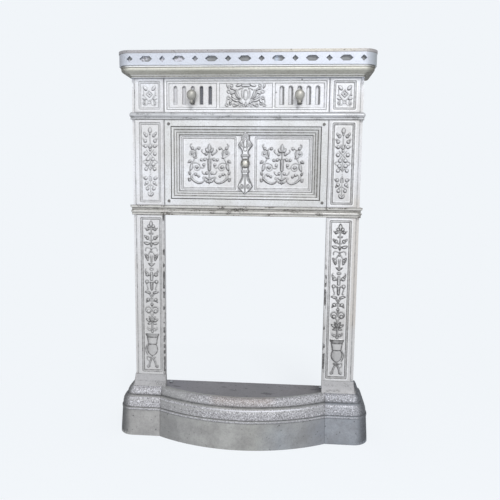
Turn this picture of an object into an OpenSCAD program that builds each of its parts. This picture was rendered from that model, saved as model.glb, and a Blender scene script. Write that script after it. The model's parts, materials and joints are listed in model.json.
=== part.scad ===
// Miniature cast-iron fireplace front: two columns on plinths, a bowed hearth fender, a framed lintel,
// a frieze with two lifting hot-air shutters, and a shelf over a pierced cornice.
// Millimetres. X runs to the right, Y to the back and Z up from the floor.
// Y = 0 is the front plane of the columns and X = 0 the plane of symmetry.

/* [Stages from the floor up] */
// Height of the plinths under the columns
plinth_h = 49; // [47:0.5:60]
// Height of the jambs beside the fire opening
jamb_h = 136; // [100:1:180]
// Height of the moulded rail over the opening
lower_rail_h = 8; // [7:0.5:12]
// Height of the lintel stage
lintel_h = 68.5; // [62:0.5:90]
// Height of the moulded rail over the lintel
mid_rail_h = 5.5; // [5:0.5:9]
// Height of the frieze stage
frieze_h = 26.5; // [25:0.5:34]
// Height of the cornice with its pierced band
cornice_h = 17; // [16:0.5:22]
// Thickness of the shelf plate
shelf_t = 2; // [2:0.1:4]

/* [Columns] */
// Clear width of the fire opening
opening_w = 131.4; // [126:0.2:160]
// Width of a column's front face
column_w = 24; // [23:0.1:32]
// Depth of the columns, front to back
column_d = 30; // [28:0.5:44]
// Width of the set-back strip on a column's outer side
strip_w = 2.3; // [1.5:0.1:4]
// How far the strip stands behind the front plane
strip_set = 2; // [1:0.1:4]
// Height of the notch in the strip beside the frieze
strip_notch = 3; // [2:0.1:5]
// Wall of the hollow castings
wall = 2.5; // [2:0.1:3.5]
// Thickness of a column's front face
face_t = 3.2; // [2.8:0.1:4.5]
// Width that stays open behind the inner edges of the jambs and plinths
inner_set = 8.5; // [7:0.1:9]
// Plain margin between a column's sunk panel and its outer arris
panel_side = 3.8; // [3:0.1:6]
// Plain margin between a column's sunk panel and the opening
panel_inner = 3.1; // [2.5:0.1:6]
// Plain margin above and below a column's sunk panel
panel_end = 2.3; // [2:0.1:5]
// Width of the step round a sunk panel
panel_step = 1.4; // [1:0.1:2]
// Depth of each of the two steps of a sunk panel
panel_sink = 0.5; // [0.3:0.1:0.9]
// Gap left at the seams between castings
seam = 0.2; // [0.1:0.05:0.4]

/* [Foot and fender] */
// Projection of the foot block in front of the columns
foot_out = 12.5; // [11:0.5:18]
// Height of the plain foot block
foot_h = 22; // [20:0.5:26]
// Batter of the foot block over its height
foot_batter = 1.5; // [0.5:0.1:3]
// Height of the fillet on the foot block
foot_fillet = 1.5; // [1:0.1:2]
// Height of the lower stippled band
low_band_h = 9.3; // [7:0.1:10]
// Projection of the lower band's top edge
low_band_out = 7; // [6:0.1:8]
// Height of the upper stippled band
high_band_h = 6.6; // [5:0.1:7]
// Projection of the upper band's top edge
high_band_out = 3; // [2.5:0.1:4]
// How far the plinths stand back from the edge of the opening
plinth_set = 3; // [2:0.1:5]
// Rise of the fender's bow in plan
bow_rise = 17.5; // [12:0.5:24]
// Thickness of the fender's shell
fender_t = 3.5; // [2.5:0.1:4]
// Thickness of the fender's upper lip
lip_t = 2.5; // [1.5:0.1:2.8]
// Depth of the hearth floor below the lip
hearth_drop = 6.4; // [4:0.1:8]
// Thickness of the hearth plate
hearth_t = 2.5; // [2:0.1:3.5]
// Width of the ledges that carry the hearth plate
ledge_w = 3.4; // [3:0.1:5]
// Thickness of the ledges that carry the hearth plate
ledge_t = 2.5; // [2:0.1:3.5]
// Length of the ledge on each plinth
ledge_l = 20; // [16:0.5:22]
// Thickness of the fender's end flanges
flange_t = 2.5; // [2:0.1:3.5]
// Depth of the fender's end flanges, front to back
flange_d = 13; // [11:0.5:15]
// Height of the fender's end flanges
flange_h = 16; // [12:0.5:18]

/* [Lintel] */
// Thickness of the lintel frame
lintel_t = 5.1; // [4.6:0.1:7]
// Set-back of the lintel and frieze plates behind the columns
plate_set = 0.4; // [0.2:0.1:0.8]
// Width of the plain border of the lintel frame
border_w = 5.2; // [5:0.1:7]
// Width of the groove inside the border
groove_w = 0.6; // [0.4:0.1:1]
// Depth of the groove inside the border
groove_d = 1.6; // [1:0.1:2]
// Width of each step of the frame moulding
frame_step = 2; // [1.6:0.1:2.4]
// Drop of each step of the frame moulding
frame_drop = 0.6; // [0.4:0.05:0.7]
// Thickness of the lintel panel
panel_t = 2.3; // [2:0.1:2.6]
// Width of the rebate that the lintel panel lies in
rebate_w = 2.2; // [1.8:0.1:3]
// Margin between the frame and the sunk squares
square_side = 1.3; // [1:0.1:4]
// Half-width of the stile between the sunk squares
stile_half = 7.5; // [6.5:0.1:10]
// Length of the centre strap
strap_l = 50; // [44:0.5:52]
// Half-width of the strap's neck
strap_neck = 2.2; // [1.8:0.1:2.6]
// Radius of the side lobes of the strap's palmettes
palm_r = 2.7; // [2.2:0.1:3]
// Height of the collars between the strap's boss and its palmettes
collar_h = 1.6; // [1.2:0.1:2.4]
// Thickness of the centre strap over the panel
strap_t = 2.8; // [2.4:0.1:3]
// Radius of the strap's boss
boss_r = 3.3; // [2.8:0.1:4]
// Diameter of the strap boss's shank
boss_shank_d = 2.4; // [2:0.1:2.8]
// Inset of the corner screws from the edges of the lintel frame
screw_inset = 3.5; // [3.2:0.1:4]

/* [Frieze and shutters] */
// Thickness of the frieze plate
frieze_t = 2; // [1.8:0.1:3]
// Inset of the frame line from the edge of the frieze plate
line_inset = 2; // [1.5:0.1:3]
// Width of the bead between the frame line and the sunk fields
bead_w = 1.8; // [1.4:0.1:2.4]
// Width of the frame line
line_w = 0.5; // [0.3:0.1:0.8]
// Half-width of the frieze's centre field
centre_half = 21.2; // [19:0.1:22]
// Depth of the sunk fields of the frieze
field_sink = 0.5; // [0.3:0.1:0.8]
// Width of a vent slot
slot_w = 2.6; // [2.4:0.1:3]
// Height of a vent slot
slot_h = 14.1; // [13:0.1:15]
// Margin between the outer vent slots and the sides of their field
slot_side = 4.05; // [3.2:0.05:4.5]
// Margin below the vent slots
slot_foot = 2.5; // [2:0.1:3]
// Vent slots in each register
slot_count = 5; // [3:2:5]
// Thickness of a shutter plate
shutter_t = 1.2; // [1:0.1:1.6]
// Overlap of the shutter past the outer slots
shutter_lap = 1.8; // [1.4:0.1:2]
// Running clearance of the shutters
run_gap = 0.2; // [0.15:0.05:0.3]
// Width of a shutter guide
guide_w = 2.4; // [2:0.1:2.6]
// Overlap of the guide's lip on the shutter
guide_lap = 1.2; // [0.8:0.1:1.6]
// Thickness of the guide's lip
guide_t = 1; // [0.8:0.1:1.4]
// Radius of a shutter pull's ball
pull_r = 3.85; // [3.4:0.05:4.2]
// Diameter of a shutter pull's shank
pull_shank_d = 2; // [1.6:0.1:2]
// Reach of the pull's axis in front of the frieze field
pull_reach = 5.6; // [5:0.1:8]
// Height of the ball's centre above the pull's shank
pull_rise = 5.4; // [4.8:0.1:5.6]

/* [Cornice] */
// Projection of the pierced band
band_out = 11; // [9:0.1:14]
// Height of the pierced band
band_h = 9.2; // [8.5:0.1:12]
// Thickness of the pierced band
band_t = 2.2; // [1.6:0.1:3]
// Projection of the shelf past the pierced band
shelf_lip = 0.3; // [0.3:0.1:1.5]
// Distance of the outermost diamonds from the columns' outer arrises
diamond_inset = 0.1; // [0:0.05:6]
// Width of a pierced diamond
diamond_w = 4.9; // [3:0.1:6]
// Height of a pierced diamond
diamond_h = 4.7; // [3:0.1:5]
// Width of a pierced lozenge
lozenge_w = 10.2; // [7:0.1:12]
// Height of a pierced lozenge
lozenge_h = 4.3; // [3:0.1:5]
// Pierced diamonds along the band
diamond_count = 8; // [4:1:8]

/* [Fasteners] */
// Diameter of the tie rods in the columns
rod_d = 3.5; // [3:0.1:4.5]
// Diameter of the fender bolts
bolt_d = 2.4; // [2:0.1:3]
// Diameter of the assembly screws
screw_d = 1.6; // [1.4:0.1:1.8]
// Diameter of the guide and clip screws
pin_d = 1.1; // [0.9:0.1:1.2]
// Diametral clearance of a hole round its fastener
hole_gap = 0.2; // [0.1:0.05:0.3]
// Height of a screw head
head_h = 1; // [0.8:0.1:1.4]

/* [Hidden] */
$fn = 64;
// Polygon sides of a hexagonal nut
hexagon = 6;
// Overshoot of a cutting tool past the face it cuts
cut = 1;

// Heights of the stages
jamb_z = plinth_h;
lower_z = jamb_z + jamb_h;
lintel_z = lower_z + lower_rail_h;
mid_z = lintel_z + lintel_h;
frieze_z = mid_z + mid_rail_h;
cornice_z = frieze_z + frieze_h;
shelf_z = cornice_z + cornice_h;

// Sides of the right-hand column
open_x = opening_w / 2;
arris_x = open_x + column_w;
side_x = arris_x + strip_w;
column_x = open_x + column_w / 2;
panel_low = open_x + panel_inner;
panel_high = arris_x - panel_side;
plinth_x = open_x + plinth_set;
plate_x = open_x - seam;

// Foot moulding and bow
fillet_z = foot_h + foot_fillet;
groove_z = fillet_z + low_band_h;
lip_z = groove_z + high_band_h;
foot_top_out = foot_out - foot_batter;
bow_r = (pow(plinth_x, 2) + pow(bow_rise, 2)) / (2 * bow_rise);
bow_y = bow_r - foot_out - bow_rise;
bow_turn = asin(plinth_x / bow_r);
base_r = bow_r - foot_out;
lip_in = high_band_out - lip_t;
hearth_z = lip_z - hearth_drop;
ledge_z = hearth_z - hearth_t;
fender_x = plinth_x - seam;
flange_y = -foot_out + fender_t / 2;
flange_z = 4;
bolt_y = flange_y + flange_d * 0.6;
bolt_z = flange_z + flange_h / 2;
ledge_y = column_d - ledge_l - 3;
wing_x = plinth_x + wall + ledge_w;
hearth_screw_x = plinth_x - ledge_w / 2 - 0.3;
hearth_screw_inset = 3;
hearth_screw_ys = [ledge_y + hearth_screw_inset, ledge_y + ledge_l - hearth_screw_inset];

// Tie rods
rod_x = column_x + strip_w / 2;
rod_y = column_d * 0.57;
washer_t = 0.8;
washer_r = rod_d;
nut_t = rod_d * 0.8;
nut_r = rod_d * 0.95;

// Lintel
frame_back = plate_set + lintel_t;
panel_front = frame_back - panel_t;
groove_in = border_w + groove_w;
opening_in = groove_in + 3 * frame_step;
rebate_in = opening_in - rebate_w;
panel_in = rebate_in + seam;
moulding_front = plate_set + frame_drop / 2;
ear_t = 3;
ear_h = 2 * screw_inset;
ear_reach = 2 * screw_inset;
lintel_mid = lintel_z + lintel_h / 2;
strap_front = panel_front - strap_t;
clip_l = 9;
clip_w = 5;
clip_t = 1.2;
clip_screw_x = plate_x - rebate_in + clip_w / 2;
clip_zs = [lintel_z + lintel_h / 4, mid_z - lintel_h / 4];
corner_screw_x = plate_x - screw_inset;
corner_screw_zs = [lintel_z + screw_inset, mid_z - screw_inset];
corner_head_d = 1.5 * screw_d;
boss_nut_r = boss_shank_d * 0.95;
boss_nut_t = boss_shank_d * 0.7;

// Frieze and shutters
field_in = line_inset + bead_w;
register_in = centre_half + bead_w;
register_out = plate_x - field_in;
register_x = (register_in + register_out) / 2;
slot_pitch = (register_out - register_in - slot_w - 2 * slot_side) / (slot_count - 1);
field_z = frieze_z + field_in;
field_front = plate_set + field_sink;
frieze_back = plate_set + frieze_t;
slot_z = field_z + slot_foot;
shutter_half = (slot_count - 1) / 2 * slot_pitch + slot_w / 2 + shutter_lap;
shutter_y = frieze_back + run_gap;
shutter_z = slot_z - shutter_lap;
shutter_h = slot_h + 2 * shutter_lap;
guide_x = shutter_half + run_gap;
guide_y = shutter_y + shutter_t + run_gap;
guide_z = frieze_z + 1.5;
guide_h = frieze_h - 3;
guide_screw_x = guide_x + guide_w / 2;
guide_screw_zs = [guide_z + guide_w, guide_z + guide_h - guide_w];
shank_z = slot_z + pull_shank_d / 2 + 0.4;
shutter_back = shutter_y + shutter_t;
pull_y = field_front - pull_reach;
ball_z = shank_z + pull_rise;
pull_nut_r = pull_shank_d * 0.95;
pull_nut_t = pull_shank_d * 0.7;
end_flange_t = 2.3;
end_flange_d = 8.5;
end_flange_inset = 2.5;
cross_screw_y = frieze_back + end_flange_d * 0.6;
cross_screw_inset = 8;
cross_screw_zs = [frieze_z + cross_screw_inset, cornice_z - cross_screw_inset];

// Cornice
soffit_out = strip_w + 0.2;
band_z = shelf_z - band_h;
diamond_pitch = 2 * (arris_x - diamond_inset) / (diamond_count - 1);
band_fillet = 1.2;
soffit_h = 1.2;
web_t = 2.8;
lug_d = 8;
lug_t = 3;
lug_x = arris_x + band_out - band_t - lug_d / 2;
lug_inset = 7;
lug_ys = [lug_inset, column_d - lug_inset];
shelf_bite = shelf_t * 0.6;

// Points of a quadratic curve from a to b, pulled towards c
function curve(a, c, b, steps = 8) = [
    for (i = [0:steps])
        let (t = i / steps)
        (1 - t) * (1 - t) * a + 2 * t * (1 - t) * c + t * t * b
];

// Outer face of the foot moulding as [projection, height], from the floor to the top of the upper band
function foot_face() = concat(
    [[foot_out, 0], [foot_top_out, foot_h], [foot_top_out + 0.4, foot_h], [foot_top_out + 0.4, fillet_z]],
    curve([foot_top_out - 0.6, fillet_z], [foot_top_out - 0.6, groove_z - 1], [low_band_out, groove_z]),
    curve([low_band_out - 0.8, groove_z], [low_band_out - 0.8, lip_z - 1], [high_band_out, lip_z])
);

// The right-hand children and their mirror image on the left
module both_sides() {
    children();
    mirror([1, 0, 0]) children();
}

// Box between two corners
module block(low, high) {
    translate(low) cube(high - low);
}

// Round bar along Y from y0 to y1
module bar_y(x, z, d, y0, y1) {
    translate([x, y1, z]) rotate([90, 0, 0]) cylinder(d = d, h = y1 - y0);
}

// Round bar along X from x0 to x1
module bar_x(y, z, d, x0, x1) {
    translate([x0, y, z]) rotate([0, 90, 0]) cylinder(d = d, h = x1 - x0);
}

// Round bar along Z from z0 to z1
module bar_z(x, y, d, z0, z1) {
    translate([x, y, z0]) cylinder(d = d, h = z1 - z0);
}

// Flat shape in the X-Z plane, carried along Y from y0 to y1
module plate_y(y0, y1) {
    translate([0, y1, 0]) rotate([90, 0, 0]) linear_extrude(y1 - y0) children();
}

// Moulding on the right-hand side: along the front from x_in to x_out, round the corner and back.
// The outline holds [projection, height] points and starts and ends on projection 0.
module wrap(x_in, x_out, outline) {
    translate([x_in, 0, 0]) rotate([90, 0, 90]) linear_extrude(x_out - x_in)
        polygon([for (q = outline) [-q[0], q[1]]]);
    translate([x_out, 0, 0]) rotate([0, 0, -90]) rotate_extrude(angle = 90) polygon(outline);
    translate([x_out, column_d, 0]) rotate([90, 0, 0]) linear_extrude(column_d) polygon(outline);
}

// Square outline of constant projection between two heights
function band(out, z0, z1) = [[0, z0], [out, z0], [out, z1], [0, z1]];

// Plinth on the right: foot block, moulded bands and the flared die under the column. Its inner side is
// open behind the front face, from the hearth plate up.
module plinth() {
    die = concat(
        [[0, 0]], foot_face(),
        curve([high_band_out - 0.4, lip_z], [0.6, lip_z + 2.5], [0, plinth_h]),
        [[0, plinth_h]]
    );
    difference() {
        union() {
            wrap(plinth_x, side_x, die);
            block([plinth_x, 0, 0], [side_x, column_d, plinth_h]);
            block([open_x, 0, lip_z + seam], [plinth_x, column_d, plinth_h]);
            block([plinth_x - ledge_w, ledge_y, ledge_z - ledge_t], [plinth_x, ledge_y + ledge_l, ledge_z]);
        }
        block([plinth_x + wall, face_t, -cut], [side_x - wall, column_d + cut, plinth_h - wall]);
        block([plinth_x + wall, -cut, -cut], [side_x, column_d + cut, foot_h - wall]);
        intersection() {
            wrap(plinth_x, side_x, band(foot_top_out - wall, -cut, foot_h - wall));
            block([plinth_x + wall, -foot_out, -cut], [side_x + foot_out, column_d + cut, foot_h]);
        }
        block([side_x - wall, 0, -cut], [side_x + foot_top_out - wall, column_d + cut, foot_h - wall]);
        block([open_x - cut, face_t, ledge_z], [open_x + inner_set, column_d + cut, plinth_h + cut]);
        bar_z(rod_x, rod_y, rod_d + hole_gap, 0, plinth_h + cut);
        bar_x(bolt_y, bolt_z, bolt_d + hole_gap, plinth_x - cut, plinth_x + wall + cut);
        for (y = hearth_screw_ys)
            bar_z(hearth_screw_x, y, screw_d + hole_gap, ledge_z - ledge_t - cut, ledge_z + cut);
    }
}

module left_plinth() { color("#9a9ea4") mirror([1, 0, 0]) plinth(); }
module right_plinth() { color("#9a9ea4") plinth(); }

// Bowed fender between the plinths, with a ledge for the hearth plate and a bolted flange at each end
module bow_fender() {
    section = concat(
        foot_face(),
        [
            [lip_in, lip_z], [lip_in, ledge_z], [lip_in - ledge_w, ledge_z],
            [lip_in - ledge_w, ledge_z - ledge_t], [foot_top_out - fender_t, ledge_z - ledge_t - fender_t],
            [foot_out - fender_t, 0]
        ]
    );
    spare = 6;
    color("#a0a4aa") difference() {
        union() {
            intersection() {
                translate([0, bow_y, 0]) rotate([0, 0, -90 - bow_turn - spare])
                    rotate_extrude(angle = 2 * (bow_turn + spare))
                        translate([base_r, 0]) polygon(section);
                block([-fender_x, -foot_out - bow_rise - cut, -cut], [fender_x, column_d, plinth_h]);
            }
            both_sides() block(
                [fender_x - flange_t, flange_y, flange_z],
                [fender_x, flange_y + flange_d, flange_z + flange_h]
            );
        }
        both_sides() bar_x(bolt_y, bolt_z, bolt_d + hole_gap, fender_x - flange_t - cut, fender_x + cut);
    }
}

// Bolts through the plinths' inner walls and the fender's flanges
module fender_bolts() {
    color("#6f7276") both_sides() {
        bar_x(bolt_y, bolt_z, bolt_d, fender_x - flange_t - bolt_d, plinth_x + wall);
        bar_x(bolt_y, bolt_z, 2 * bolt_d, plinth_x + wall, plinth_x + wall + head_h);
    }
}

// Nuts of the fender bolts, against the inside of the flanges
module fender_nuts() {
    color("#6f7276") both_sides() difference() {
        translate([fender_x - flange_t, bolt_y, bolt_z]) rotate([0, -90, 0])
            cylinder(r = bolt_d, h = bolt_d * 0.8, $fn = hexagon);
        bar_x(bolt_y, bolt_z, bolt_d + hole_gap, plinth_x - plinth_set - 2 * bolt_d - flange_t, plinth_x);
    }
}

// Floor plate of the hearth, inside the fender's lip, with a wing on each plinth's inner wall
module hearth_plate() {
    color("#75787c") difference() {
        union() {
            intersection() {
                translate([0, bow_y, ledge_z]) cylinder(r = base_r + lip_in - seam, h = hearth_t, $fn = 256);
                block([-fender_x, -foot_out - bow_rise, ledge_z], [fender_x, column_d, hearth_z]);
            }
            block([-wing_x, face_t + seam, ledge_z], [wing_x, column_d, hearth_z]);
        }
        both_sides()
            for (y = hearth_screw_ys)
                bar_z(hearth_screw_x, y, screw_d + hole_gap, ledge_z - cut, hearth_z + cut);
    }
}

// Screws that hold the hearth plate on the plinths' ledges
module hearth_screws() {
    color("#6f7276") both_sides()
        for (y = hearth_screw_ys) {
            bar_z(hearth_screw_x, y, screw_d, ledge_z - ledge_t, hearth_z);
            bar_z(hearth_screw_x, y, 1.9 * screw_d, hearth_z, hearth_z + head_h);
        }
}

// Hollow column casting on the right, from z0 to z1: front face with a stepped sunk panel, a set-back
// strip on the outer side, end webs for the tie rod and an open back. Beside the fire its inner side is open.
module column(z0, z1, by_fire = false) {
    difference() {
        union() {
            block([open_x, 0, z0], [arris_x, column_d, z1]);
            block([open_x, strip_set, z0], [side_x, column_d, z1]);
        }
        block([open_x + wall, face_t, z0 + wall], [side_x - wall, column_d + cut, z1 - wall]);
        for (i = [0, 1]) {
            inset = i * panel_step;
            block(
                [panel_low + inset, -cut, z0 + panel_end + inset],
                [panel_high - inset, (i + 1) * panel_sink, z1 - panel_end - inset]
            );
        }
        if (by_fire)
            block([open_x - cut, face_t, z0 - cut], [open_x + inner_set, column_d + cut, z1 + cut]);
        bar_z(rod_x, rod_y, rod_d + hole_gap, z0 - cut, z1 + cut);
    }
}

module left_jamb() { color("#d3d6dd") mirror([1, 0, 0]) column(jamb_z, lower_z, true); }
module right_jamb() { color("#d3d6dd") column(jamb_z, lower_z, true); }

// Lintel-stage block: a column with two drilled ears behind the corners of the lintel frame
module lintel_block() {
    difference() {
        union() {
            column(lintel_z, mid_z);
            for (z = [lintel_z, mid_z - ear_h])
                block([plate_x - ear_reach, frame_back, z], [open_x, frame_back + ear_t, z + ear_h]);
        }
        for (z = corner_screw_zs)
            bar_y(corner_screw_x, z, screw_d + hole_gap, frame_back - cut, frame_back + ear_t + cut);
    }
}

module left_lintel_block() { color("#d8dbe1") mirror([1, 0, 0]) lintel_block(); }
module right_lintel_block() { color("#d8dbe1") lintel_block(); }

// Frieze-stage block: a column drilled for the frieze plate's screws, with a notch in its strip
module frieze_block() {
    notch_z = cornice_z - 2 * strip_notch;
    difference() {
        column(frieze_z, cornice_z);
        block(
            [side_x - strip_w / 2, 0, notch_z],
            [side_x + cut, 2 * strip_set + strip_w, notch_z + strip_notch]
        );
        for (z = cross_screw_zs)
            bar_x(cross_screw_y, z, screw_d + hole_gap, open_x - cut, open_x + wall + cut);
    }
}

module left_frieze_block() { color("#dadde2") mirror([1, 0, 0]) frieze_block(); }
module right_frieze_block() { color("#dadde2") frieze_block(); }

// Rail across the whole front: a moulded bar, with webs over the columns for the tie rods
module rail(z0, z1, outline) {
    bar_d = face_t + lintel_t;
    difference() {
        union() {
            both_sides() {
                wrap(0, side_x, outline);
                block([open_x, 0, z0], [side_x, column_d, z1]);
            }
            block([-open_x, 0, z0], [open_x, bar_d, z1]);
        }
        both_sides() bar_z(rod_x, rod_y, rod_d + hole_gap, z0 - cut, z1 + cut);
    }
}

// Rail over the opening: two fillets, a round and a top lip
module lower_rail() {
    z = lower_z;
    h = lower_rail_h;
    color("#cfd3da") rail(z, lintel_z, concat(
        [[0, z], [0.8, z], [0.8, z + 0.24 * h]],
        curve([1.1, z + 0.26 * h], [2, z + 0.36 * h], [1.1, z + 0.48 * h], 6),
        [[0.7, z + 0.5 * h], [0.7, z + 0.7 * h], [2, z + 0.78 * h], [2, z + h], [0, z + h]]
    ));
}

// Rail over the lintel: a fillet under a round
module mid_rail() {
    z = mid_z;
    h = mid_rail_h;
    color("#cfd3da") rail(z, frieze_z, concat(
        [[0, z], [0.8, z], [0.8, z + 0.28 * h]],
        curve([0.6, z + 0.3 * h], [2.8, z + 0.62 * h], [0.6, z + 0.96 * h]),
        [[0.6, z + h], [0, z + h]]
    ));
}

// Rectangle in the X-Z plane, inset from the lintel frame's outline
module inset_rect(inset) {
    translate([inset - plate_x, lintel_z + inset])
        square([2 * (plate_x - inset), lintel_h - 2 * inset]);
}

// Frame of the lintel: a border with four screw holes, a groove and a moulding stepping down to the panel
module lintel_frame() {
    color("#d6d9df") difference() {
        plate_y(plate_set, frame_back) inset_rect(0);
        plate_y(plate_set - cut, plate_set + groove_d) difference() {
            inset_rect(border_w);
            inset_rect(groove_in);
        }
        for (i = [0:2])
            plate_y(plate_set - cut, moulding_front + i * frame_drop)
                inset_rect(groove_in + i * frame_step);
        plate_y(plate_set - cut, frame_back + cut) inset_rect(opening_in);
        plate_y(panel_front, frame_back + cut) inset_rect(rebate_in);
        both_sides()
            for (z = corner_screw_zs) {
                bar_y(corner_screw_x, z, screw_d + hole_gap, plate_set - cut, frame_back + cut);
                bar_y(corner_screw_x, z, corner_head_d + hole_gap, plate_set - cut, plate_set + head_h / 2);
            }
        both_sides()
            for (z = clip_zs)
                bar_y(clip_screw_x, z, pin_d + hole_gap, frame_back - lintel_t / 2, frame_back + cut);
    }
}

// Slotted screws in the corners of the lintel frame
module lintel_screws() {
    slot = screw_d / 4;
    color("#b9bcc2") both_sides()
        for (z = corner_screw_zs) {
            bar_y(corner_screw_x, z, screw_d, plate_set, frame_back + ear_t);
            difference() {
                bar_y(corner_screw_x, z, corner_head_d, plate_set - head_h / 2, plate_set + head_h / 2);
                block(
                    [corner_screw_x - screw_d, plate_set - cut, z - slot / 2],
                    [corner_screw_x + screw_d, plate_set - head_h / 4, z + slot / 2]
                );
            }
        }
}

// Panel behind the lintel frame, with two sunk squares for the ornament
module lintel_panel() {
    low = lintel_z + opening_in + square_side;
    high = mid_z - opening_in - square_side;
    out = plate_x - opening_in - square_side;
    color("#dfe2e6") difference() {
        plate_y(panel_front, frame_back) inset_rect(panel_in);
        both_sides()
            for (i = [0, 1])
                block(
                    [stile_half + i * panel_step, panel_front - cut, low + i * panel_step],
                    [out - i * panel_step, panel_front + (i + 1) * panel_sink, high - i * panel_step]
                );
        bar_y(0, lintel_mid, boss_shank_d + hole_gap, panel_front - cut, frame_back + cut);
    }
}

// Clips behind the lintel frame that keep the panel in its rebate
module panel_clips() {
    color("#85888d") both_sides()
        for (z = clip_zs)
            difference() {
                block(
                    [clip_screw_x - clip_l, frame_back, z - clip_w / 2],
                    [clip_screw_x + clip_w / 2, frame_back + clip_t, z + clip_w / 2]
                );
                bar_y(clip_screw_x, z, pin_d + hole_gap, frame_back - cut, frame_back + clip_t + cut);
            }
}

// Small screws of the panel clips
module clip_screws() {
    color("#6f7276") both_sides()
        for (z = clip_zs) {
            bar_y(clip_screw_x, z, pin_d, frame_back - lintel_t / 2 + seam, frame_back + clip_t);
            bar_y(clip_screw_x, z, 2 * pin_d, frame_back + clip_t, frame_back + clip_t + head_h);
        }
}

// Outline of one half of the strap, from the boss up: collar, neck and palmette of five lobes
module strap_half() {
    tip = strap_l / 2;
    collar_half = strap_neck + palm_r / 3;
    collar_z = 2 * boss_r;
    translate([-strap_neck, 0]) square([2 * strap_neck, tip - 2 * palm_r]);
    translate([-collar_half, collar_z]) square([2 * collar_half, collar_h]);
    // Each lobe is [half spread, distance from the tip, radius] in side-lobe radii
    for (lobe = palm_r * [[0, 0.95, 0.95], [1.07, 2.05, 1], [0.7, 3.7, 0.7]], s = [-1, 1])
        translate([s * lobe[0], tip - lobe[1]]) circle(r = lobe[2]);
}

// Centre strap over the stile between the squares, let over the frame moulding at both ends
module centre_strap() {
    field_half = lintel_h / 2 - opening_in - seam;
    ring_w = 0.18 * boss_r;
    color("#cdd0d6") difference() {
        plate_y(strap_front, panel_front) translate([0, lintel_mid]) {
            circle(r = boss_r + ring_w);
            strap_half();
            mirror([0, 1]) strap_half();
        }
        translate([0, 0, lintel_mid])
            for (s = [0, 1])
                mirror([0, 0, s]) block(
                    [-stile_half, moulding_front + frame_drop - seam, field_half],
                    [stile_half, panel_front + cut, lintel_h / 2]
                );
        bar_y(0, lintel_mid, boss_shank_d + hole_gap, strap_front - cut, panel_front + cut);
    }
}

// Round boss whose shank holds the strap to the panel
module strap_boss() {
    dome = 0.42 * boss_r;
    dome_r = (pow(boss_r, 2) + pow(dome, 2)) / (2 * dome);
    color("#e6e7e8") {
        bar_y(0, lintel_mid, boss_shank_d, strap_front, frame_back + 1.5 * boss_nut_t);
        translate([0, strap_front, lintel_mid]) rotate([90, 0, 0]) intersection() {
            cylinder(r = boss_r, h = dome);
            translate([0, 0, dome - dome_r]) sphere(r = dome_r);
        }
    }
}

// Nut of the strap boss, behind the panel
module strap_nut() {
    color("#6f7276") difference() {
        translate([0, frame_back + boss_nut_t, lintel_mid]) rotate([90, 0, 0])
            cylinder(r = boss_nut_r, h = boss_nut_t, $fn = hexagon);
        bar_y(0, lintel_mid, boss_shank_d + hole_gap, frame_back - cut, frame_back + 2 * boss_nut_t);
    }
}

// Outline of the vent slots of the right-hand register, with round heads
module vent_slots() {
    for (i = [0:slot_count - 1])
        translate([register_x + (i - (slot_count - 1) / 2) * slot_pitch, slot_z]) {
            translate([-slot_w / 2, 0]) square([slot_w, slot_h - slot_w / 2]);
            translate([0, slot_h - slot_w / 2]) circle(d = slot_w);
        }
}

// Frieze plate: frame line, three sunk fields, vent slots, and flanges at its ends behind
module frieze_plate() {
    field_h = frieze_h - 2 * field_in;
    color("#dcdfe4") difference() {
        union() {
            block([-plate_x, plate_set, frieze_z], [plate_x, frieze_back, cornice_z]);
            both_sides() block(
                [plate_x - end_flange_t, frieze_back, frieze_z + end_flange_inset],
                [plate_x, frieze_back + end_flange_d, cornice_z - end_flange_inset]
            );
        }
        plate_y(plate_set - cut, plate_set + field_sink) {
            difference() {
                translate([line_inset - plate_x, frieze_z + line_inset])
                    square([2 * (plate_x - line_inset), frieze_h - 2 * line_inset]);
                translate([line_inset + line_w - plate_x, frieze_z + line_inset + line_w])
                    square([2 * (plate_x - line_inset - line_w), frieze_h - 2 * (line_inset + line_w)]);
            }
            translate([-centre_half, field_z]) square([2 * centre_half, field_h]);
            both_sides() translate([register_in, field_z]) square([register_out - register_in, field_h]);
        }
        plate_y(plate_set - cut, frieze_back + cut) both_sides() vent_slots();
        both_sides() {
            for (z = cross_screw_zs)
                bar_x(cross_screw_y, z, screw_d + hole_gap, plate_x - end_flange_t - cut, plate_x + cut);
            for (s = [-1, 1], z = guide_screw_zs)
                bar_y(register_x + s * guide_screw_x, z, pin_d + hole_gap,
                    frieze_back - frieze_t / 2, frieze_back + cut);
        }
    }
}

// Cross screws from inside the frieze blocks into the frieze plate's flanges
module frieze_screws() {
    color("#6f7276") both_sides()
        for (z = cross_screw_zs) {
            bar_x(cross_screw_y, z, screw_d, plate_x - end_flange_t, open_x + wall);
            bar_x(cross_screw_y, z, 1.9 * screw_d, open_x + wall, open_x + wall + head_h);
        }
}

// Pair of lipped guides on the back of the frieze plate, left and right of one shutter
module shutter_guides() {
    outer = [guide_x + guide_w, guide_y + guide_t, guide_z + guide_h];
    for (s = [0, 1])
        translate([register_x, 0, 0]) mirror([s, 0, 0]) difference() {
            union() {
                block([guide_x, frieze_back, guide_z], outer);
                block([shutter_half - guide_lap, guide_y, guide_z], outer);
            }
            for (z = guide_screw_zs)
                bar_y(guide_screw_x, z, pin_d + hole_gap, frieze_back - cut, guide_y + guide_t + cut);
        }
}

module left_shutter_guides() { color("#8a8d92") mirror([1, 0, 0]) shutter_guides(); }
module right_shutter_guides() { color("#8a8d92") shutter_guides(); }

// Small screws that hold the shutter guides
module guide_screws() {
    color("#6f7276") both_sides()
        for (s = [-1, 1], z = guide_screw_zs) {
            x = register_x + s * guide_screw_x;
            bar_y(x, z, pin_d, frieze_back - frieze_t / 2 + seam, guide_y + guide_t);
            bar_y(x, z, 1.9 * pin_d, guide_y + guide_t, guide_y + guide_t + head_h * 0.7);
        }
}

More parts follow.
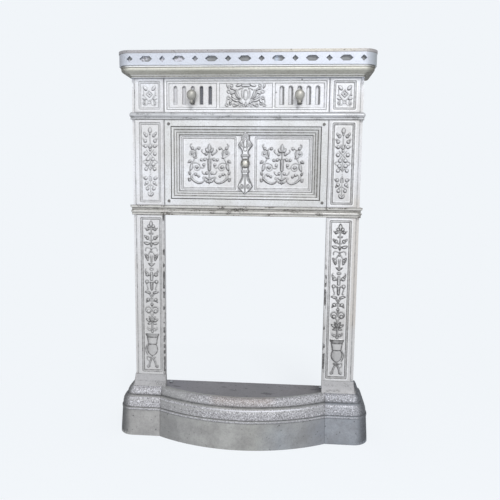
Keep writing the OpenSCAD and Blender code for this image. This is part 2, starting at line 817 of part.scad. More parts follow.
// Shutter plate that closes the vent slots of one register from behind
module shutter() {
    difference() {
        block([register_x - shutter_half, shutter_y, shutter_z],
            [register_x + shutter_half, shutter_back, shutter_z + shutter_h]);
        bar_y(register_x, shank_z, pull_shank_d + hole_gap, shutter_y - cut, shutter_back + cut);
    }
}

module left_shutter() { color("#c4c7cd") mirror([1, 0, 0]) shutter(); }
module right_shutter() { color("#c4c7cd") shutter(); }

// Pear-shaped pull in front of the middle slot, on a shank that runs in the slot
module pull() {
    neck_r = pull_shank_d * 0.75;
    foot_z = shank_z - pull_shank_d * 0.7;
    neck_z = shank_z + 0.8;
    tip_h = 0.5;
    // The ball runs from a latitude of -40 degrees, where the neck joins it, nearly to its top
    ball = [for (a = [-40:15:80]) pull_r * [cos(a), sin(a)] + [0, ball_z]];
    translate([register_x, pull_y, 0]) rotate_extrude() polygon(concat(
        [[0, foot_z], [neck_r, foot_z], [neck_r, neck_z]], ball, [[0, ball_z + pull_r + tip_h]]
    ));
    bar_y(register_x, shank_z, pull_shank_d, pull_y, shutter_back + 1.4 * pull_nut_t);
}

module left_pull() { color("#b8b4a8") mirror([1, 0, 0]) pull(); }
module right_pull() { color("#b8b4a8") pull(); }

// Nut of the pull's shank, behind the shutter
module pull_nut() {
    difference() {
        translate([register_x, shutter_back + pull_nut_t, shank_z]) rotate([90, 0, 0])
            cylinder(r = pull_nut_r, h = pull_nut_t, $fn = hexagon);
        bar_y(register_x, shank_z, pull_shank_d + hole_gap,
            shutter_back - cut, shutter_back + 2 * pull_nut_t);
    }
}

module left_pull_nut() { color("#6f7276") mirror([1, 0, 0]) pull_nut(); }
module right_pull_nut() { color("#6f7276") pull_nut(); }

// Outlines pierced through the cornice's band: diamonds, with a long lozenge between each two
module piercings() {
    half = [lozenge_w / 2, lozenge_h / 2];
    for (i = [0:diamond_count - 1])
        translate([(i - (diamond_count - 1) / 2) * diamond_pitch, 0]) polygon([
            [-diamond_w / 2, 0], [0, -diamond_h / 2], [diamond_w / 2, 0], [0, diamond_h / 2]
        ]);
    for (i = [0:diamond_count - 2])
        translate([(i - diamond_count / 2 + 1) * diamond_pitch, 0]) polygon([
            [-half[0], 0], [-half[0] / 2, -half[1]], [half[0] / 2, -half[1]],
            [half[0], 0], [half[0] / 2, half[1]], [-half[0] / 2, half[1]]
        ]);
}

// Cornice: soffit, a hollow that turns into a round, fillet and the pierced band, round three sides
module cornice() {
    fillet_out = band_out - 1.1;
    quirk_z = band_z - band_fillet;
    hollow_z = cornice_z + soffit_h;
    waist = [(soffit_out + fillet_out) / 2, hollow_z + 0.36 * (quirk_z - hollow_z)];
    inner_out = band_out - band_t;
    face = concat(
        [[0, cornice_z], [soffit_out, cornice_z], [soffit_out, hollow_z]],
        curve([soffit_out + 0.7, hollow_z], [soffit_out + 1, waist[1] - 0.3], waist),
        curve(waist + [0.2, 0.02], [fillet_out, waist[1] + 0.4], [fillet_out - 0.4, quirk_z - 0.5]),
        [[fillet_out - 0.9, quirk_z - 0.2], [fillet_out, quirk_z], [fillet_out, band_z]],
        [[band_out, band_z], [band_out, shelf_z], [0, shelf_z]]
    );
    color("#d9dbdf") difference() {
        both_sides() {
            difference() {
                union() {
                    wrap(0, arris_x, face);
                    block([0, 0, cornice_z], [arris_x, column_d, shelf_z]);
                }
                wrap(0, arris_x, band(inner_out, band_z, shelf_z + cut));
                block([0, column_d - cut, band_z], [arris_x + inner_out, column_d + cut, shelf_z + cut]);
                block([-cut, -cut / 2, cornice_z + web_t], [arris_x, column_d + cut, shelf_z + cut]);
            }
            for (y = lug_ys)
                block(
                    [lug_x - lug_d / 2, y - lug_d / 2, shelf_z - lug_t],
                    [lug_x + lug_d / 2 + band_t / 2, y + lug_d / 2, shelf_z]
                );
        }
        block(
            [-open_x, plate_set + frieze_t / 2, cornice_z - cut],
            [open_x, column_d + cut, cornice_z + web_t + cut]
        );
        plate_y(-band_out - cut, -cut) translate([0, band_z + band_h / 2]) piercings();
        both_sides() {
            bar_z(rod_x, rod_y, rod_d + hole_gap, cornice_z - cut, cornice_z + web_t + cut);
            for (y = lug_ys)
                bar_z(lug_x, y, screw_d + hole_gap, shelf_z - lug_t - cut, shelf_z + cut);
        }
    }
}

// Shelf plate over the cornice, with round front corners and blind holes for its screws
module shelf_plate() {
    color("#e1e3e6") difference() {
        both_sides() {
            wrap(0, arris_x, band(band_out + shelf_lip, shelf_z, shelf_z + shelf_t));
            block([0, 0, shelf_z], [arris_x, column_d, shelf_z + shelf_t]);
        }
        both_sides()
            for (y = lug_ys)
                bar_z(lug_x, y, screw_d + hole_gap, shelf_z - cut, shelf_z + shelf_bite);
    }
}

// Screws up through the cornice's lugs into the shelf plate
module shelf_screws() {
    color("#6f7276") both_sides()
        for (y = lug_ys) {
            bar_z(lug_x, y, screw_d, shelf_z - lug_t, shelf_z + shelf_bite - seam);
            bar_z(lug_x, y, 1.9 * screw_d, shelf_z - lug_t - head_h, shelf_z - lug_t);
        }
}

// Tie rod that clamps one column's castings together
module tie_rod() {
    spare = washer_t + 1.5 * nut_t;
    bar_z(rod_x, rod_y, rod_d, plinth_h - wall - spare, cornice_z + web_t + spare);
}

module left_tie_rod() { color("#6f7276") mirror([1, 0, 0]) tie_rod(); }
module right_tie_rod() { color("#6f7276") tie_rod(); }

// Nuts at both ends of the tie rods
module tie_rod_nuts() {
    color("#6f7276") both_sides() difference() {
        for (z = [plinth_h - wall - washer_t - nut_t, cornice_z + web_t + washer_t])
            translate([rod_x, rod_y, z]) cylinder(r = nut_r, h = nut_t, $fn = hexagon);
        bar_z(rod_x, rod_y, rod_d + hole_gap, 0, shelf_z);
    }
}

// Washers under the tie rods' nuts
module tie_rod_washers() {
    color("#85888d") both_sides() difference() {
        for (z = [plinth_h - wall - washer_t, cornice_z + web_t])
            translate([rod_x, rod_y, z]) cylinder(r = washer_r, h = washer_t);
        bar_z(rod_x, rod_y, rod_d + hole_gap, 0, shelf_z);
    }
}

left_plinth();
right_plinth();
bow_fender();
fender_bolts();
fender_nuts();
hearth_plate();
hearth_screws();
left_jamb();
right_jamb();
lower_rail();
left_lintel_block();
right_lintel_block();
lintel_frame();
lintel_screws();
lintel_panel();
panel_clips();
clip_screws();
centre_strap();
strap_boss();
strap_nut();
mid_rail();
left_frieze_block();
right_frieze_block();
frieze_plate();
frieze_screws();
left_shutter_guides();
right_shutter_guides();
guide_screws();
left_shutter();
left_pull();
left_pull_nut();
right_shutter();
right_pull();
right_pull_nut();
cornice();
shelf_plate();
shelf_screws();
left_tie_rod();
right_tie_rod();
tie_rod_nuts();
tie_rod_washers();
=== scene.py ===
"""Looks of a miniature cast-iron fireplace front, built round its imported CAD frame.

The CAD castings stay and carry their finish, and only the strap, its boss and the two pulls are made anew.
Cast skins lie a hair's breadth over the other faces: height fields for the carved fronts, and profiles
carried along paths for the mouldings. Lengths are millimetres until a mesh or a finish is made.
"""
import json
import math

import bmesh
import bpy
import numpy as np
from mathutils import Matrix, Vector


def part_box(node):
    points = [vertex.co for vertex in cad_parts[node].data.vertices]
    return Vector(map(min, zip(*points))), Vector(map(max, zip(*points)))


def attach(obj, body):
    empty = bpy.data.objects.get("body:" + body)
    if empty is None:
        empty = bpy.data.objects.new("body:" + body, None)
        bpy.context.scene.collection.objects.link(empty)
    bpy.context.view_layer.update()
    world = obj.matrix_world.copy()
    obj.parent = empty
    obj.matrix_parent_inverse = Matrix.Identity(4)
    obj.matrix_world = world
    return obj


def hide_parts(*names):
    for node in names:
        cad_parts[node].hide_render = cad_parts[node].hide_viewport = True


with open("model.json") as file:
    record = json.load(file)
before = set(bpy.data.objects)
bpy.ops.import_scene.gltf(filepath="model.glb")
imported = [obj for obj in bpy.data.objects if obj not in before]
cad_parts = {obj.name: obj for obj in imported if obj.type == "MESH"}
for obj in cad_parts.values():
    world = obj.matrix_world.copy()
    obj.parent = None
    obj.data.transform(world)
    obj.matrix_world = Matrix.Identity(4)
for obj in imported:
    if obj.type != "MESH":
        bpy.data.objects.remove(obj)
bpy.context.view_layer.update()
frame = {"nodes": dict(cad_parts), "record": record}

MM = 0.001
ROOT = "surround"
SIDES = ((-1, "left"), (1, "right"))


def box_mm(node):
    """Lowest and highest corner of a CAD node, in millimetres."""
    low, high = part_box(node)
    return np.array(low) / MM, np.array(high) / MM


# Places taken from the frame
jamb_low, jamb_high = box_mm("right_jamb")
block_low, block_high = box_mm("right_lintel_block")
frieze_block_low, frieze_block_high = box_mm("right_frieze_block")
lintel_low, lintel_high = box_mm("lintel_frame")
frieze_low, frieze_high = box_mm("frieze_plate")
cornice_low, cornice_high = box_mm("cornice")
plinth_low, plinth_high = box_mm("right_plinth")
shutter_low, shutter_high = box_mm("right_shutter")
pull_low, pull_high = box_mm("right_pull")
boss_low, boss_high = box_mm("strap_boss")
panel_y = box_mm("lintel_panel")[0][1]
strap_y = box_mm("centre_strap")[0][1]
shelf_z = box_mm("shelf_plate")[0][2]

# Sizes shared with the CAD source
OPEN_X = jamb_low[0]
SIDE_X = jamb_high[0]
DEPTH = jamb_high[1]
COLUMN_W = 24.0
ARRIS_X = OPEN_X + COLUMN_W
PANEL_SIDE = 3.8
PANEL_INNER = 3.1
PANEL_X = (OPEN_X + PANEL_INNER + ARRIS_X - PANEL_SIDE) / 2
PANEL_HALF = (COLUMN_W - PANEL_INNER - PANEL_SIDE) / 2
PANEL_END = 2.3
PANEL_STEP = 1.4
PANEL_SINK = 0.5
FOOT_OUT = -plinth_low[1]
FOOT_BATTER = 1.5
FOOT_TOP_OUT = FOOT_OUT - FOOT_BATTER
FOOT_H = 22.0
FILLET_Z = 23.5
GROOVE_Z = 32.8
LIP_Z = 39.4
LOW_BAND_OUT = 7.0
HIGH_BAND_OUT = 3.0
PLINTH_X = OPEN_X + 3
BOW_RISE = 17.5
REGISTER_X = (shutter_low[0] + shutter_high[0]) / 2
FRIEZE_MID = (frieze_low[2] + frieze_high[2]) / 2
LINTEL_MID = (lintel_low[2] + lintel_high[2]) / 2
SIGHT_EDGE = 11.8
STILE_HALF = 7.5
SQUARE_SIDE = 1.3
SLOT_W = 2.6
SLOT_LOW = frieze_low[2] + 6.3
SLOT_HIGH = SLOT_LOW + 14.1
SLOT_PITCH = 7.0
SLOTS_X = REGISTER_X + SLOT_PITCH * (np.arange(5) - 2)
FIELD_SIDE = 3.8
FIELD_LOW = frieze_low[2] + FIELD_SIDE
FIELD_HIGH = frieze_high[2] - FIELD_SIDE
CENTRE_HALF = 21.2
REGISTER_IN = 23.0
REGISTER_OUT = frieze_high[0] - FIELD_SIDE

# How far a cast skin stands proud of the CAD face and inside its outline, and how softly its panels step
PROUD = 0.12
SHY = 0.05
PANEL_SOFT = 0.14


# Curves and fields

def smooth(t):
    """Smoothstep: 0 below 0, 1 above 1, and 3t^2 - 2t^3 between."""
    t = np.clip(t, 0, 1)
    return t * t * (3 - 2 * t)


def bell(t, width):
    """Bell curve, 1 at t = 0 and small beyond the width."""
    return np.exp(-(t / width) ** 2)


def step_up(t, soft):
    """Soft step: 0 below -soft, 1 above soft, and a smoothstep between."""
    return smooth((t + soft) / (2 * soft))


def round_back(t):
    """Half-round: sqrt(1 - t^2), and 0 where t is beyond 1."""
    return np.sqrt(np.clip(1 - t ** 2, 0, None))


def lines_between(breaks, step):
    """Rising positions that hold every break and lie at most one step apart."""
    breaks = np.unique(np.round(breaks, 4))
    counts = np.maximum(np.ceil(np.diff(breaks) / step - 1e-6).astype(int), 1)
    runs = [np.linspace(a, b, n, endpoint=False) for a, b, n in zip(breaks[:-1], breaks[1:], counts)]
    return np.append(np.concatenate(runs), breaks[-1])


def speckle(u, v, cell, seed):
    """Value noise from 0 to 1: a hashed number at each corner of a square lattice, blended by smoothstep."""
    u, v = np.broadcast_arrays(u / cell, v / cell)
    iu, iv = np.floor(u), np.floor(v)
    fu, fv = smooth(u - iu), smooth(v - iv)

    def corner(a, b):
        number = np.sin(a * 127.1 + b * 311.7 + seed * 74.7) * 43758.5453
        return number - np.floor(number)

    low = corner(iu, iv) * (1 - fu) + corner(iu + 1, iv) * fu
    high = corner(iu, iv + 1) * (1 - fu) + corner(iu + 1, iv + 1) * fu
    return low * (1 - fv) + high * fv


def blotches(x, z, seed):
    """Uneven strength of dirt and painted shade, from 0.7 to 1.3."""
    return 0.7 + 0.6 * speckle(x, z, 1.7, seed)


# Strokes of carved ornament: each is its points [x, z] and the half-width at each point

def through(points, wide, tip=None, count=8):
    """Stroke on a Catmull-Rom curve through the points, count steps to each span, its half-width going evenly
    from wide to tip."""
    points = np.array(points, float)
    ends = np.vstack([2 * points[0] - points[1], points, 2 * points[-1] - points[-2]])
    t = np.linspace(0, 1, count, endpoint=False)[:, None, None]
    a, b, c, d = ends[:-3], ends[1:-2], ends[2:-1], ends[3:]
    cubic = -a + 3 * b - 3 * c + d
    square = 2 * a - 5 * b + 4 * c - d
    curve = 0.5 * (2 * b + (c - a) * t + square * t ** 2 + cubic * t ** 3)
    curve = np.vstack([curve.transpose(1, 0, 2).reshape(-1, 2), points[-1:]])
    return curve, np.linspace(wide, wide if tip is None else tip, len(curve))


def leaf(start, end, wide, sag=0.0, count=13):
    """Teardrop on an arc from start to end that sags sideways by a share of its length: the half-width
    rises as a sine, is widest two fifths of the way along, and runs out almost to a point."""
    start, end = np.array(start, float), np.array(end, float)
    chord = end - start
    t = np.linspace(0, 1, count)
    side = np.array([-chord[1], chord[0]])
    points = start + t[:, None] * chord + (4 * sag * t * (1 - t))[:, None] * side
    return points, wide * np.sin(np.pi * t ** 0.75) ** 0.8 + 0.1


def about(centre, across, up, angle):
    """Points round a centre: across times the angle's cosine, and up times its sine."""
    return np.array(centre, float) + np.stack([across * np.cos(angle), up * np.sin(angle)], axis=1)


def curl(centre, radius, start, turns, wide, count=26):
    """Volute: the radius shrinks evenly from radius to a quarter of it over the turns, from the start angle
    in degrees, and the half-width swells a little at the eye."""
    t = np.linspace(0, 1, count)
    reach = radius * (1 - 0.75 * t)
    return about(centre, reach, reach, np.radians(start) + 2 * np.pi * turns * t), wide * (0.8 + 0.5 * t)


def ring(centre, radius, wide, tall=1.0, count=28):
    """Closed ring, an ellipse whose height is tall times its width."""
    angle = np.linspace(0, 2 * np.pi, count)
    return about(centre, radius, tall * radius, angle), np.full(count, wide)


def bead(x, z, radius):
    """Single round bead."""
    return np.array([[x, z]], float), np.array([radius], float)


def mirrored(strokes):
    """The strokes of the left half, and their reflection in x = 0."""
    return list(strokes) + [(points * [-1, 1], wide) for points, wide in strokes]


def moved(strokes, x, z, flip=1):
    """The strokes carried to (x, z), and turned left for right when flip is -1."""
    return [(points * [flip, 1] + [x, z], wide) for points, wide in strokes]


def raised(profile, z):
    """Profile of [height, half-width] points carried up to z."""
    return [(z + height, half) for height, half in profile]


def outlined(edge, strength, film, line):
    """Dirt at a distance outside an outline: a dark line along it, and a film on the ornament inside."""
    return strength * (bell(edge - 0.02, line) + film * smooth(-edge / 0.25))


class Carving:
    """Ornament over a grid of points: rise is its height, and marks its dirt. Its outlines are dark lines,
    line wide to either side, and a film of dirt lies on its back. REACH is how far its dirt goes."""

    REACH = 0.9

    def __init__(self, xs, zs, line=0.3, film=0.16):
        self.xs, self.zs, self.line, self.film = xs, zs, line, film
        self.rise = np.zeros((len(zs), len(xs)))
        self.marks = np.zeros((len(zs), len(xs)))

    def lay(self, strokes, height):
        """Each stroke is a row of round-backed balls: at distance d from a ball of radius r the rise is
        sqrt(1 - d^2/r^2) times the smaller of r and the height. The highest ball counts. Broad strokes hold
        more dirt than fine ones."""
        for points, wide in strokes:
            margin = wide.max() + self.REACH
            low, high = points.min(axis=0) - margin, points.max(axis=0) + margin
            i = slice(*np.searchsorted(self.zs, (low[1], high[1])))
            j = slice(*np.searchsorted(self.xs, (low[0], high[0])))
            dx = self.xs[j][None, :, None] - points[:, 0]
            dz = self.zs[i][:, None, None] - points[:, 1]
            far = np.hypot(dx, dz)
            if far.size == 0:
                continue
            back = round_back(far / wide) * np.minimum(wide, height)
            strength = 0.55 + 0.45 * smooth((wide.max() - 0.25) / 0.6)
            marks = outlined((far - wide).min(axis=2), strength, self.film, self.line)
            self.rise[i, j] = np.maximum(self.rise[i, j], back.max(axis=2))
            self.marks[i, j] = np.maximum(self.marks[i, j], marks)

    def turn(self, x, profile, height, film):
        """Half-round of a turned shape on the axis at x, under a film of dirt, with painted shade over its
        left half. The profile holds [z, half-width] from the bottom up, and the rise is sqrt(1 - (dx /
        half-width)^2) times the height, or times 0.9 half-widths where that is less."""
        heights, half = np.array(profile, float).T
        wide = np.interp(self.zs, heights, half, left=0, right=0)[:, None]
        off = self.xs[None, :] - x
        share = off / np.maximum(wide, 1e-6)
        self.rise = np.maximum(self.rise, round_back(share) * np.minimum(height, 0.9 * wide))
        ends = np.minimum(np.abs(self.zs - heights[0]), np.abs(self.zs - heights[-1]))[:, None]
        edge = np.maximum(np.abs(off) - wide, -ends)
        # Painted shade over the left half of the turned shape, on top of its film of dirt
        marks = outlined(edge, 1.0, film + 0.4 * smooth(-share - 0.1), self.line)
        self.marks = np.where(wide > 0, np.maximum(self.marks, marks), self.marks)

    def facing(self):
        """How far the ornament's slopes face up and to the right, below 0 where they face away from there."""
        over_z, over_x = np.gradient(self.rise, self.zs, self.xs)
        return -0.5 * over_x - 0.85 * over_z

    def dirt_and_shade(self):
        """Dirt and painted shade: the marks as dirt, painted shade where the slopes face down, and a painted
        shadow on the ground close under the ornament, where the ornament two rows up and one column to the
        right stands higher."""
        # Painted shadow of the ornament, cast down and to the left, and painted shade on its down-facing
        # slopes
        over = np.roll(self.rise, (-2, -1), axis=(0, 1))
        under = smooth((over - self.rise) / 0.5)
        return 0.75 * self.marks + 0.4 * smooth(-self.facing() / 1.1) + 0.5 * under

    def bare_and_highlight(self):
        """Painted highlight, laid as bare metal, where the slopes face up and to the right."""
        return 0.75 * smooth((self.facing() - 0.1) / 0.9)


# Meshes

def grid_quads(rows, cols):
    """Corner numbers of the quads between rows x cols points, numbered row by row."""
    r, c = np.meshgrid(np.arange(rows - 1), np.arange(cols - 1), indexing="ij")
    first = (r * cols + c).reshape(-1, 1)
    return first + np.array([0, 1, cols + 1, cols])


def new_object(name, data):
    """Object with that name and data, in the scene."""
    made = bpy.data.objects.new(name, data)
    bpy.context.scene.collection.objects.link(made)
    return made


def add_piece(name, points, quads, caps, finish, dirt_and_shade=None, bare_and_highlight=None, body=ROOT, stands_for=()):
    """Makes a mesh piece from points in millimetres, quads and flat end caps, and hangs it on a body. Its
    points' dirt and painted shade, and their bare metal and painted highlight, from 0 to 1, are kept as
    attributes for the finish."""
    loops = np.concatenate([np.asarray(quads).ravel()] + [np.asarray(cap) for cap in caps]).astype(np.int32)
    sizes = np.array([4] * len(quads) + [len(cap) for cap in caps], np.int32)
    starts = np.concatenate([[0], np.cumsum(sizes)[:-1]]).astype(np.int32)
    mesh = bpy.data.meshes.new(name)
    mesh.vertices.add(len(points))
    mesh.vertices.foreach_set("co", (np.asarray(points) * MM).astype(np.float32).ravel())
    mesh.loops.add(len(loops))
    mesh.loops.foreach_set("vertex_index", loops)
    mesh.polygons.add(len(sizes))
    mesh.polygons.foreach_set("loop_start", starts)
    mesh.polygons.foreach_set("use_smooth", sizes == 4)
    mesh.update(calc_edges=True)
    for word, marks in (("dirt_and_shade", dirt_and_shade), ("bare_and_highlight", bare_and_highlight)):
        layer = mesh.attributes.new(word, "FLOAT", "POINT")
        if marks is not None:
            layer.data.foreach_set("value", np.clip(marks, 0, 1).astype(np.float32).ravel())
    made = bmesh.new()
    made.from_mesh(mesh)
    bmesh.ops.remove_doubles(made, verts=made.verts, dist=2e-7)
    bmesh.ops.recalc_face_normals(made, faces=made.faces)
    made.to_mesh(mesh)
    made.free()
    mesh.materials.append(finish)
    piece = new_object(name, mesh)
    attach(piece, body)
    if stands_for:
        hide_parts(*stands_for)
    return piece


def front_piece(name, xs, zs, face, dirt_and_shade, bare_and_highlight, back, keep=None):
    """Closed slab of silver over a grid: its front is the height field y = face(x, z) and its back the plane
    y = back. Cells outside keep are open right through."""
    rows, cols = len(zs), len(xs)
    x, z = np.meshgrid(xs, zs)
    front = np.stack([x, face, z], axis=-1).reshape(-1, 3)
    behind = np.stack([x, np.full_like(x, back), z], axis=-1).reshape(-1, 3)
    quads = grid_quads(rows, cols)
    if keep is None:
        number = np.arange(rows * cols).reshape(rows, cols)
        rim = np.concatenate([number[0, :-1], number[:-1, -1], number[-1, :0:-1], number[:0:-1, 0]])
        inner = np.arange(len(rim)) + rows * cols
        walls = np.stack([rim, inner, np.roll(inner, -1), np.roll(rim, -1)], axis=1)
        points = np.vstack([front, behind[rim]])
        dirt = np.concatenate([dirt_and_shade.ravel(), dirt_and_shade.ravel()[rim]])
        bare = np.concatenate([bare_and_highlight.ravel(), 0.0 * rim])
        quads = np.vstack([quads, walls])
        return add_piece(name, points, quads, [inner[::-1]], silver, dirt, bare)
    quads = quads[keep.ravel()]
    used, place = np.unique(quads, return_inverse=True)
    quads = place.reshape(-1, 4)
    count = len(used)
    edges = np.sort(np.stack([quads, np.roll(quads, -1, axis=1)], axis=-1).reshape(-1, 2), axis=1)
    edges, uses = np.unique(edges, axis=0, return_counts=True)
    rim = edges[uses == 1]
    walls = np.stack([rim[:, 0], rim[:, 1], rim[:, 1] + count, rim[:, 0] + count], axis=1)
    points = np.vstack([front[used], behind[used]])
    dirt = np.tile(dirt_and_shade.ravel()[used], 2)
    bare = np.tile(bare_and_highlight.ravel()[used], 2)
    quads = np.vstack([quads, quads[:, ::-1] + count, walls])
    return add_piece(name, points, quads, [], silver, dirt, bare)


def length_along(points):
    """Length along a row of points, up to each of them."""
    return np.concatenate([[0], np.cumsum(np.hypot(*np.diff(points, axis=0).T))])


def resampled(points, count):
    """A row of points drawn anew with count points, evenly spaced along it, and the length at each."""
    length = length_along(points)
    at = np.linspace(0, length[-1], count)
    return np.stack([np.interp(at, length, points[:, k]) for k in (0, 1)], axis=1), at


def refined(outline, step=0.22, soften=0.3):
    """Outline of [projection, height] points, resampled about every step along it and with its corners
    rounded by a running mean over soften to either side, and the length at each point."""
    outline = np.array(outline, float)
    fine, at = resampled(outline, int(length_along(outline)[-1] / step) + 1)
    return running_mean(fine, max(1, int(soften / step))), at


def running_mean(points, reach):
    """Mean of each point with its neighbours within reach places, its ends kept."""
    padded = np.pad(points, ((reach, reach), (0, 0)), mode="edge")
    total = np.cumsum(np.vstack([np.zeros((1, points.shape[1])), padded]), axis=0)
    mean = (total[2 * reach + 1:] - total[:-2 * reach - 1]) / (2 * reach + 1)
    mean[[0, -1]] = points[[0, -1]]
    return mean


def outward(line):
    """Unit normals of an outline that runs upwards, pointing away from the casting."""
    along = np.gradient(line, axis=0)
    normal = np.stack([along[:, 1], -along[:, 0]], axis=1)
    return normal / np.maximum(np.hypot(*normal.T), 1e-9)[:, None]


def hollows(line, reach=5):
    """How far each point of an outline lies behind its running mean: above 0 in quirks, below 0 on edges."""
    return ((running_mean(line, reach) - line) * outward(line)).sum(axis=1)


def curve_to(start, pull, end, count=9):
    """Points of a quadratic curve from start to end, drawn towards pull."""
    t = np.linspace(0, 1, count)[:, None]
    start, pull, end = (np.array(p, float) for p in (start, pull, end))
    return list((1 - t) ** 2 * start + 2 * t * (1 - t) * pull + t ** 2 * end)


def round_corner(corner_x, x_from, step=0.8, inset=1.2):
    """Path along the front from x_from, round the right-hand corner at (corner_x, 0) and back along the side.
    Gives its base points, its outward directions and its mitres."""
    front = lines_between([x_from, corner_x - inset], step)
    side = lines_between([inset, DEPTH - SHY], step)
    angle = np.linspace(0, np.pi / 2, 8)
    base = np.vstack([
        np.stack([front, 0 * front], axis=1),
        np.tile([corner_x, 0.0], (len(angle), 1)),
        np.stack([0 * side + corner_x, side], axis=1),
    ])
    out = np.vstack([
        np.tile([0.0, -1.0], (len(front), 1)),
        np.stack([np.sin(angle), -np.cos(angle)], axis=1),
        np.tile([1.0, 0.0], (len(side), 1)),
    ])
    mitre = out.copy()
    mitre[len(front):len(front) + len(angle)] = [1.0, -1.0]
    return base, out, mitre


def round_front(corner_x, step=0.8):
    """Path from the back on the left, round both front corners, to the back on the right."""
    half = round_corner(corner_x, 0.0, step)
    return tuple(np.vstack([part[:0:-1] * [-1, 1], part]) for part in half)


def carried(path):
    """Placing function for a path: base + projection x outward, or x mitre behind the base line, and the
    length along the path a little outside it."""
    base, out, mitre = path

    def place(projection):
        direction = np.where((projection >= 0)[..., None], out, mitre)
        return base + projection[..., None] * direction

    return place, length_along(base + 2 * out)


def bowed(end_x, base_r, centre_y, count):
    """Placing function for the fender: arcs about (0, centre_y), all ending on the planes x = -end_x and
    x = end_x. Also gives the length along the arc of radius base_r."""
    share = np.linspace(-1, 1, count)

    def place(projection):
        radius = base_r + projection
        angle = share * np.arcsin(end_x / radius)
        return np.stack([radius * np.sin(angle), centre_y - radius * np.cos(angle)], axis=-1)

    return place, share * base_r * math.asin(end_x / base_r)


def moulding(name, outline, way, finish, back=-0.6, stipple=None, shine=None, chips=0.0,
             rims=0.0, lines=(), painted_side_shade=0.0, seed=1):
    """Closed shell of an outline carried along a way. Its face stands PROUD of the outline, less near the
    floor, and its flat back lies at the back projection. Dirt gathers in the quirks, in chips, along the
    lower and upper rims and in lines, each a height, a width and a strength; painted shade lies where the way
    turns to the side, and in the lines that callers give for it. stipple(line, x) gives the height of the
    stipple, and shine(line, x) the share of bare metal and painted highlight: half for stippled metal, and
    whole for rubbed metal."""
    place, run = way
    line, at = refined(outline)
    normal = outward(line)
    flat = place(line[:, :1] * np.ones((1, len(run))))
    lift = PROUD * smooth(line[:, 1:] / 4) * np.ones((1, len(run)))
    grain = speckle(at[:, None], run[None, :], 0.85, seed)
    fine = speckle(at[:, None] + 40, run[None, :], 0.5, seed + 1)
    hollow = np.clip(hollows(line) / 0.22, 0, 1)
    hollow = np.maximum(hollow, rims * bell(np.minimum(at, at[-1] - at), 0.4))
    for level, width, strength in lines:
        hollow = np.maximum(hollow, strength * bell(line[:, 1] - level, width))
    dirt = hollow[:, None] * (0.65 + 0.5 * grain)
    bare_and_highlight = 0 * grain
    if stipple is not None:
        tall = stipple(line, flat[..., 0])
        dots = smooth(2.6 * (0.55 * grain + 0.45 * fine) - 0.8)
        lift = lift + tall * dots
        bare_and_highlight = 0.5 * np.clip(tall / 0.2, 0, 1) * (1 - hollow[:, None])
    patch = smooth(4 * speckle(at[:, None], run[None, :] / 3, 2.2, seed + 2) - 2.4)
    dirt = dirt + chips * patch * smooth(3 * fine - 1.0)
    if shine is not None:
        bare_and_highlight = np.maximum(bare_and_highlight, shine(line, flat[..., 0]) * (1 - hollow[:, None]))
    # Painted shade where the way turns to the side, with less bare metal there
    if painted_side_shade:
        sideways = np.abs(place(line[:, :1] + 1 + 0 * lift)[..., 0] - flat[..., 0])
        turned_off = smooth((sideways - 0.05) / 0.75)
        dirt = np.maximum(dirt, painted_side_shade * turned_off)
        bare_and_highlight = bare_and_highlight * (1 - 0.75 * turned_off)
    projection = line[:, :1] + normal[:, :1] * lift
    height = line[:, 1:] + normal[:, 1:] * lift
    closing = np.ones((1, len(run)))
    projection = np.vstack([projection, back * closing, back * closing])
    height = np.vstack([height, height[-1:], height[:1]])
    points = np.concatenate([place(projection), height[..., None]], axis=-1)
    rows, cols = height.shape
    points = np.concatenate([points, points[:1]], axis=0)
    dirt = np.vstack([dirt, 0.3 * closing, 0.3 * closing, dirt[:1]])
    bare_and_highlight = np.vstack([bare_and_highlight, 0 * closing, 0 * closing, bare_and_highlight[:1]])
    rim = np.arange(rows) * cols
    caps = [rim[::-1], rim + cols - 1]
    return add_piece(name, points.reshape(-1, 3), grid_quads(rows + 1, cols), caps, finish, dirt, bare_and_highlight)


# Finishes

def add_node(tree, kind, inputs=None, **settings):
    """New node with its settings, and its inputs as values or as the sockets that feed them."""
    made = tree.nodes.new(kind)
    for key, value in settings.items():
        setattr(made, key, value)
    for key, value in (inputs or {}).items():
        if isinstance(value, bpy.types.NodeSocket):
            tree.links.new(value, made.inputs[key])
        else:
            made.inputs[key].default_value = value
    return made


def empty_tree(owner):
    """Node tree of a material or a world, with nothing in it."""
    owner.use_nodes = True
    owner.node_tree.nodes.clear()
    return owner.node_tree


def new_finish(name):
    """Empty material, its shader and its output linked, and its Object coordinates."""
    finish = bpy.data.materials.new(name)
    tree = empty_tree(finish)
    shader = add_node(tree, "ShaderNodeBsdfPrincipled")
    add_node(tree, "ShaderNodeOutputMaterial", {"Surface": shader.outputs["BSDF"]})
    where = add_node(tree, "ShaderNodeTexCoord").outputs["Object"]
    return finish, tree, shader, where


def noise(tree, where, scale, detail=3.0, roughness=0.55):
    """Value of a noise texture with so many cells to the metre."""
    made = add_node(tree, "ShaderNodeTexNoise",
                    {"Vector": where, "Scale": scale, "Detail": detail, "Roughness": roughness})
    return made.outputs["Fac"]


def spread(tree, value, low, high, to_low=0.0, to_high=1.0):
    """Value carried from low..high to to_low..to_high, and kept inside."""
    made = add_node(tree, "ShaderNodeMapRange", {"Value": value, "From Min": low, "From Max": high,
                                                 "To Min": to_low, "To Max": to_high})
    return made.outputs["Result"]


def maths(tree, operation, a, b):
    """Result of a sum, product or other operation on two values, kept between 0 and 1."""
    return add_node(tree, "ShaderNodeMath", {0: a, 1: b}, operation=operation, use_clamp=True).outputs[0]


def times(tree, a, b):
    """Product of two values, kept between 0 and 1."""
    return maths(tree, "MULTIPLY", a, b)


def attribute(tree, name):
    """Value of a piece's attribute."""
    return add_node(tree, "ShaderNodeAttribute", attribute_name=name).outputs["Fac"]


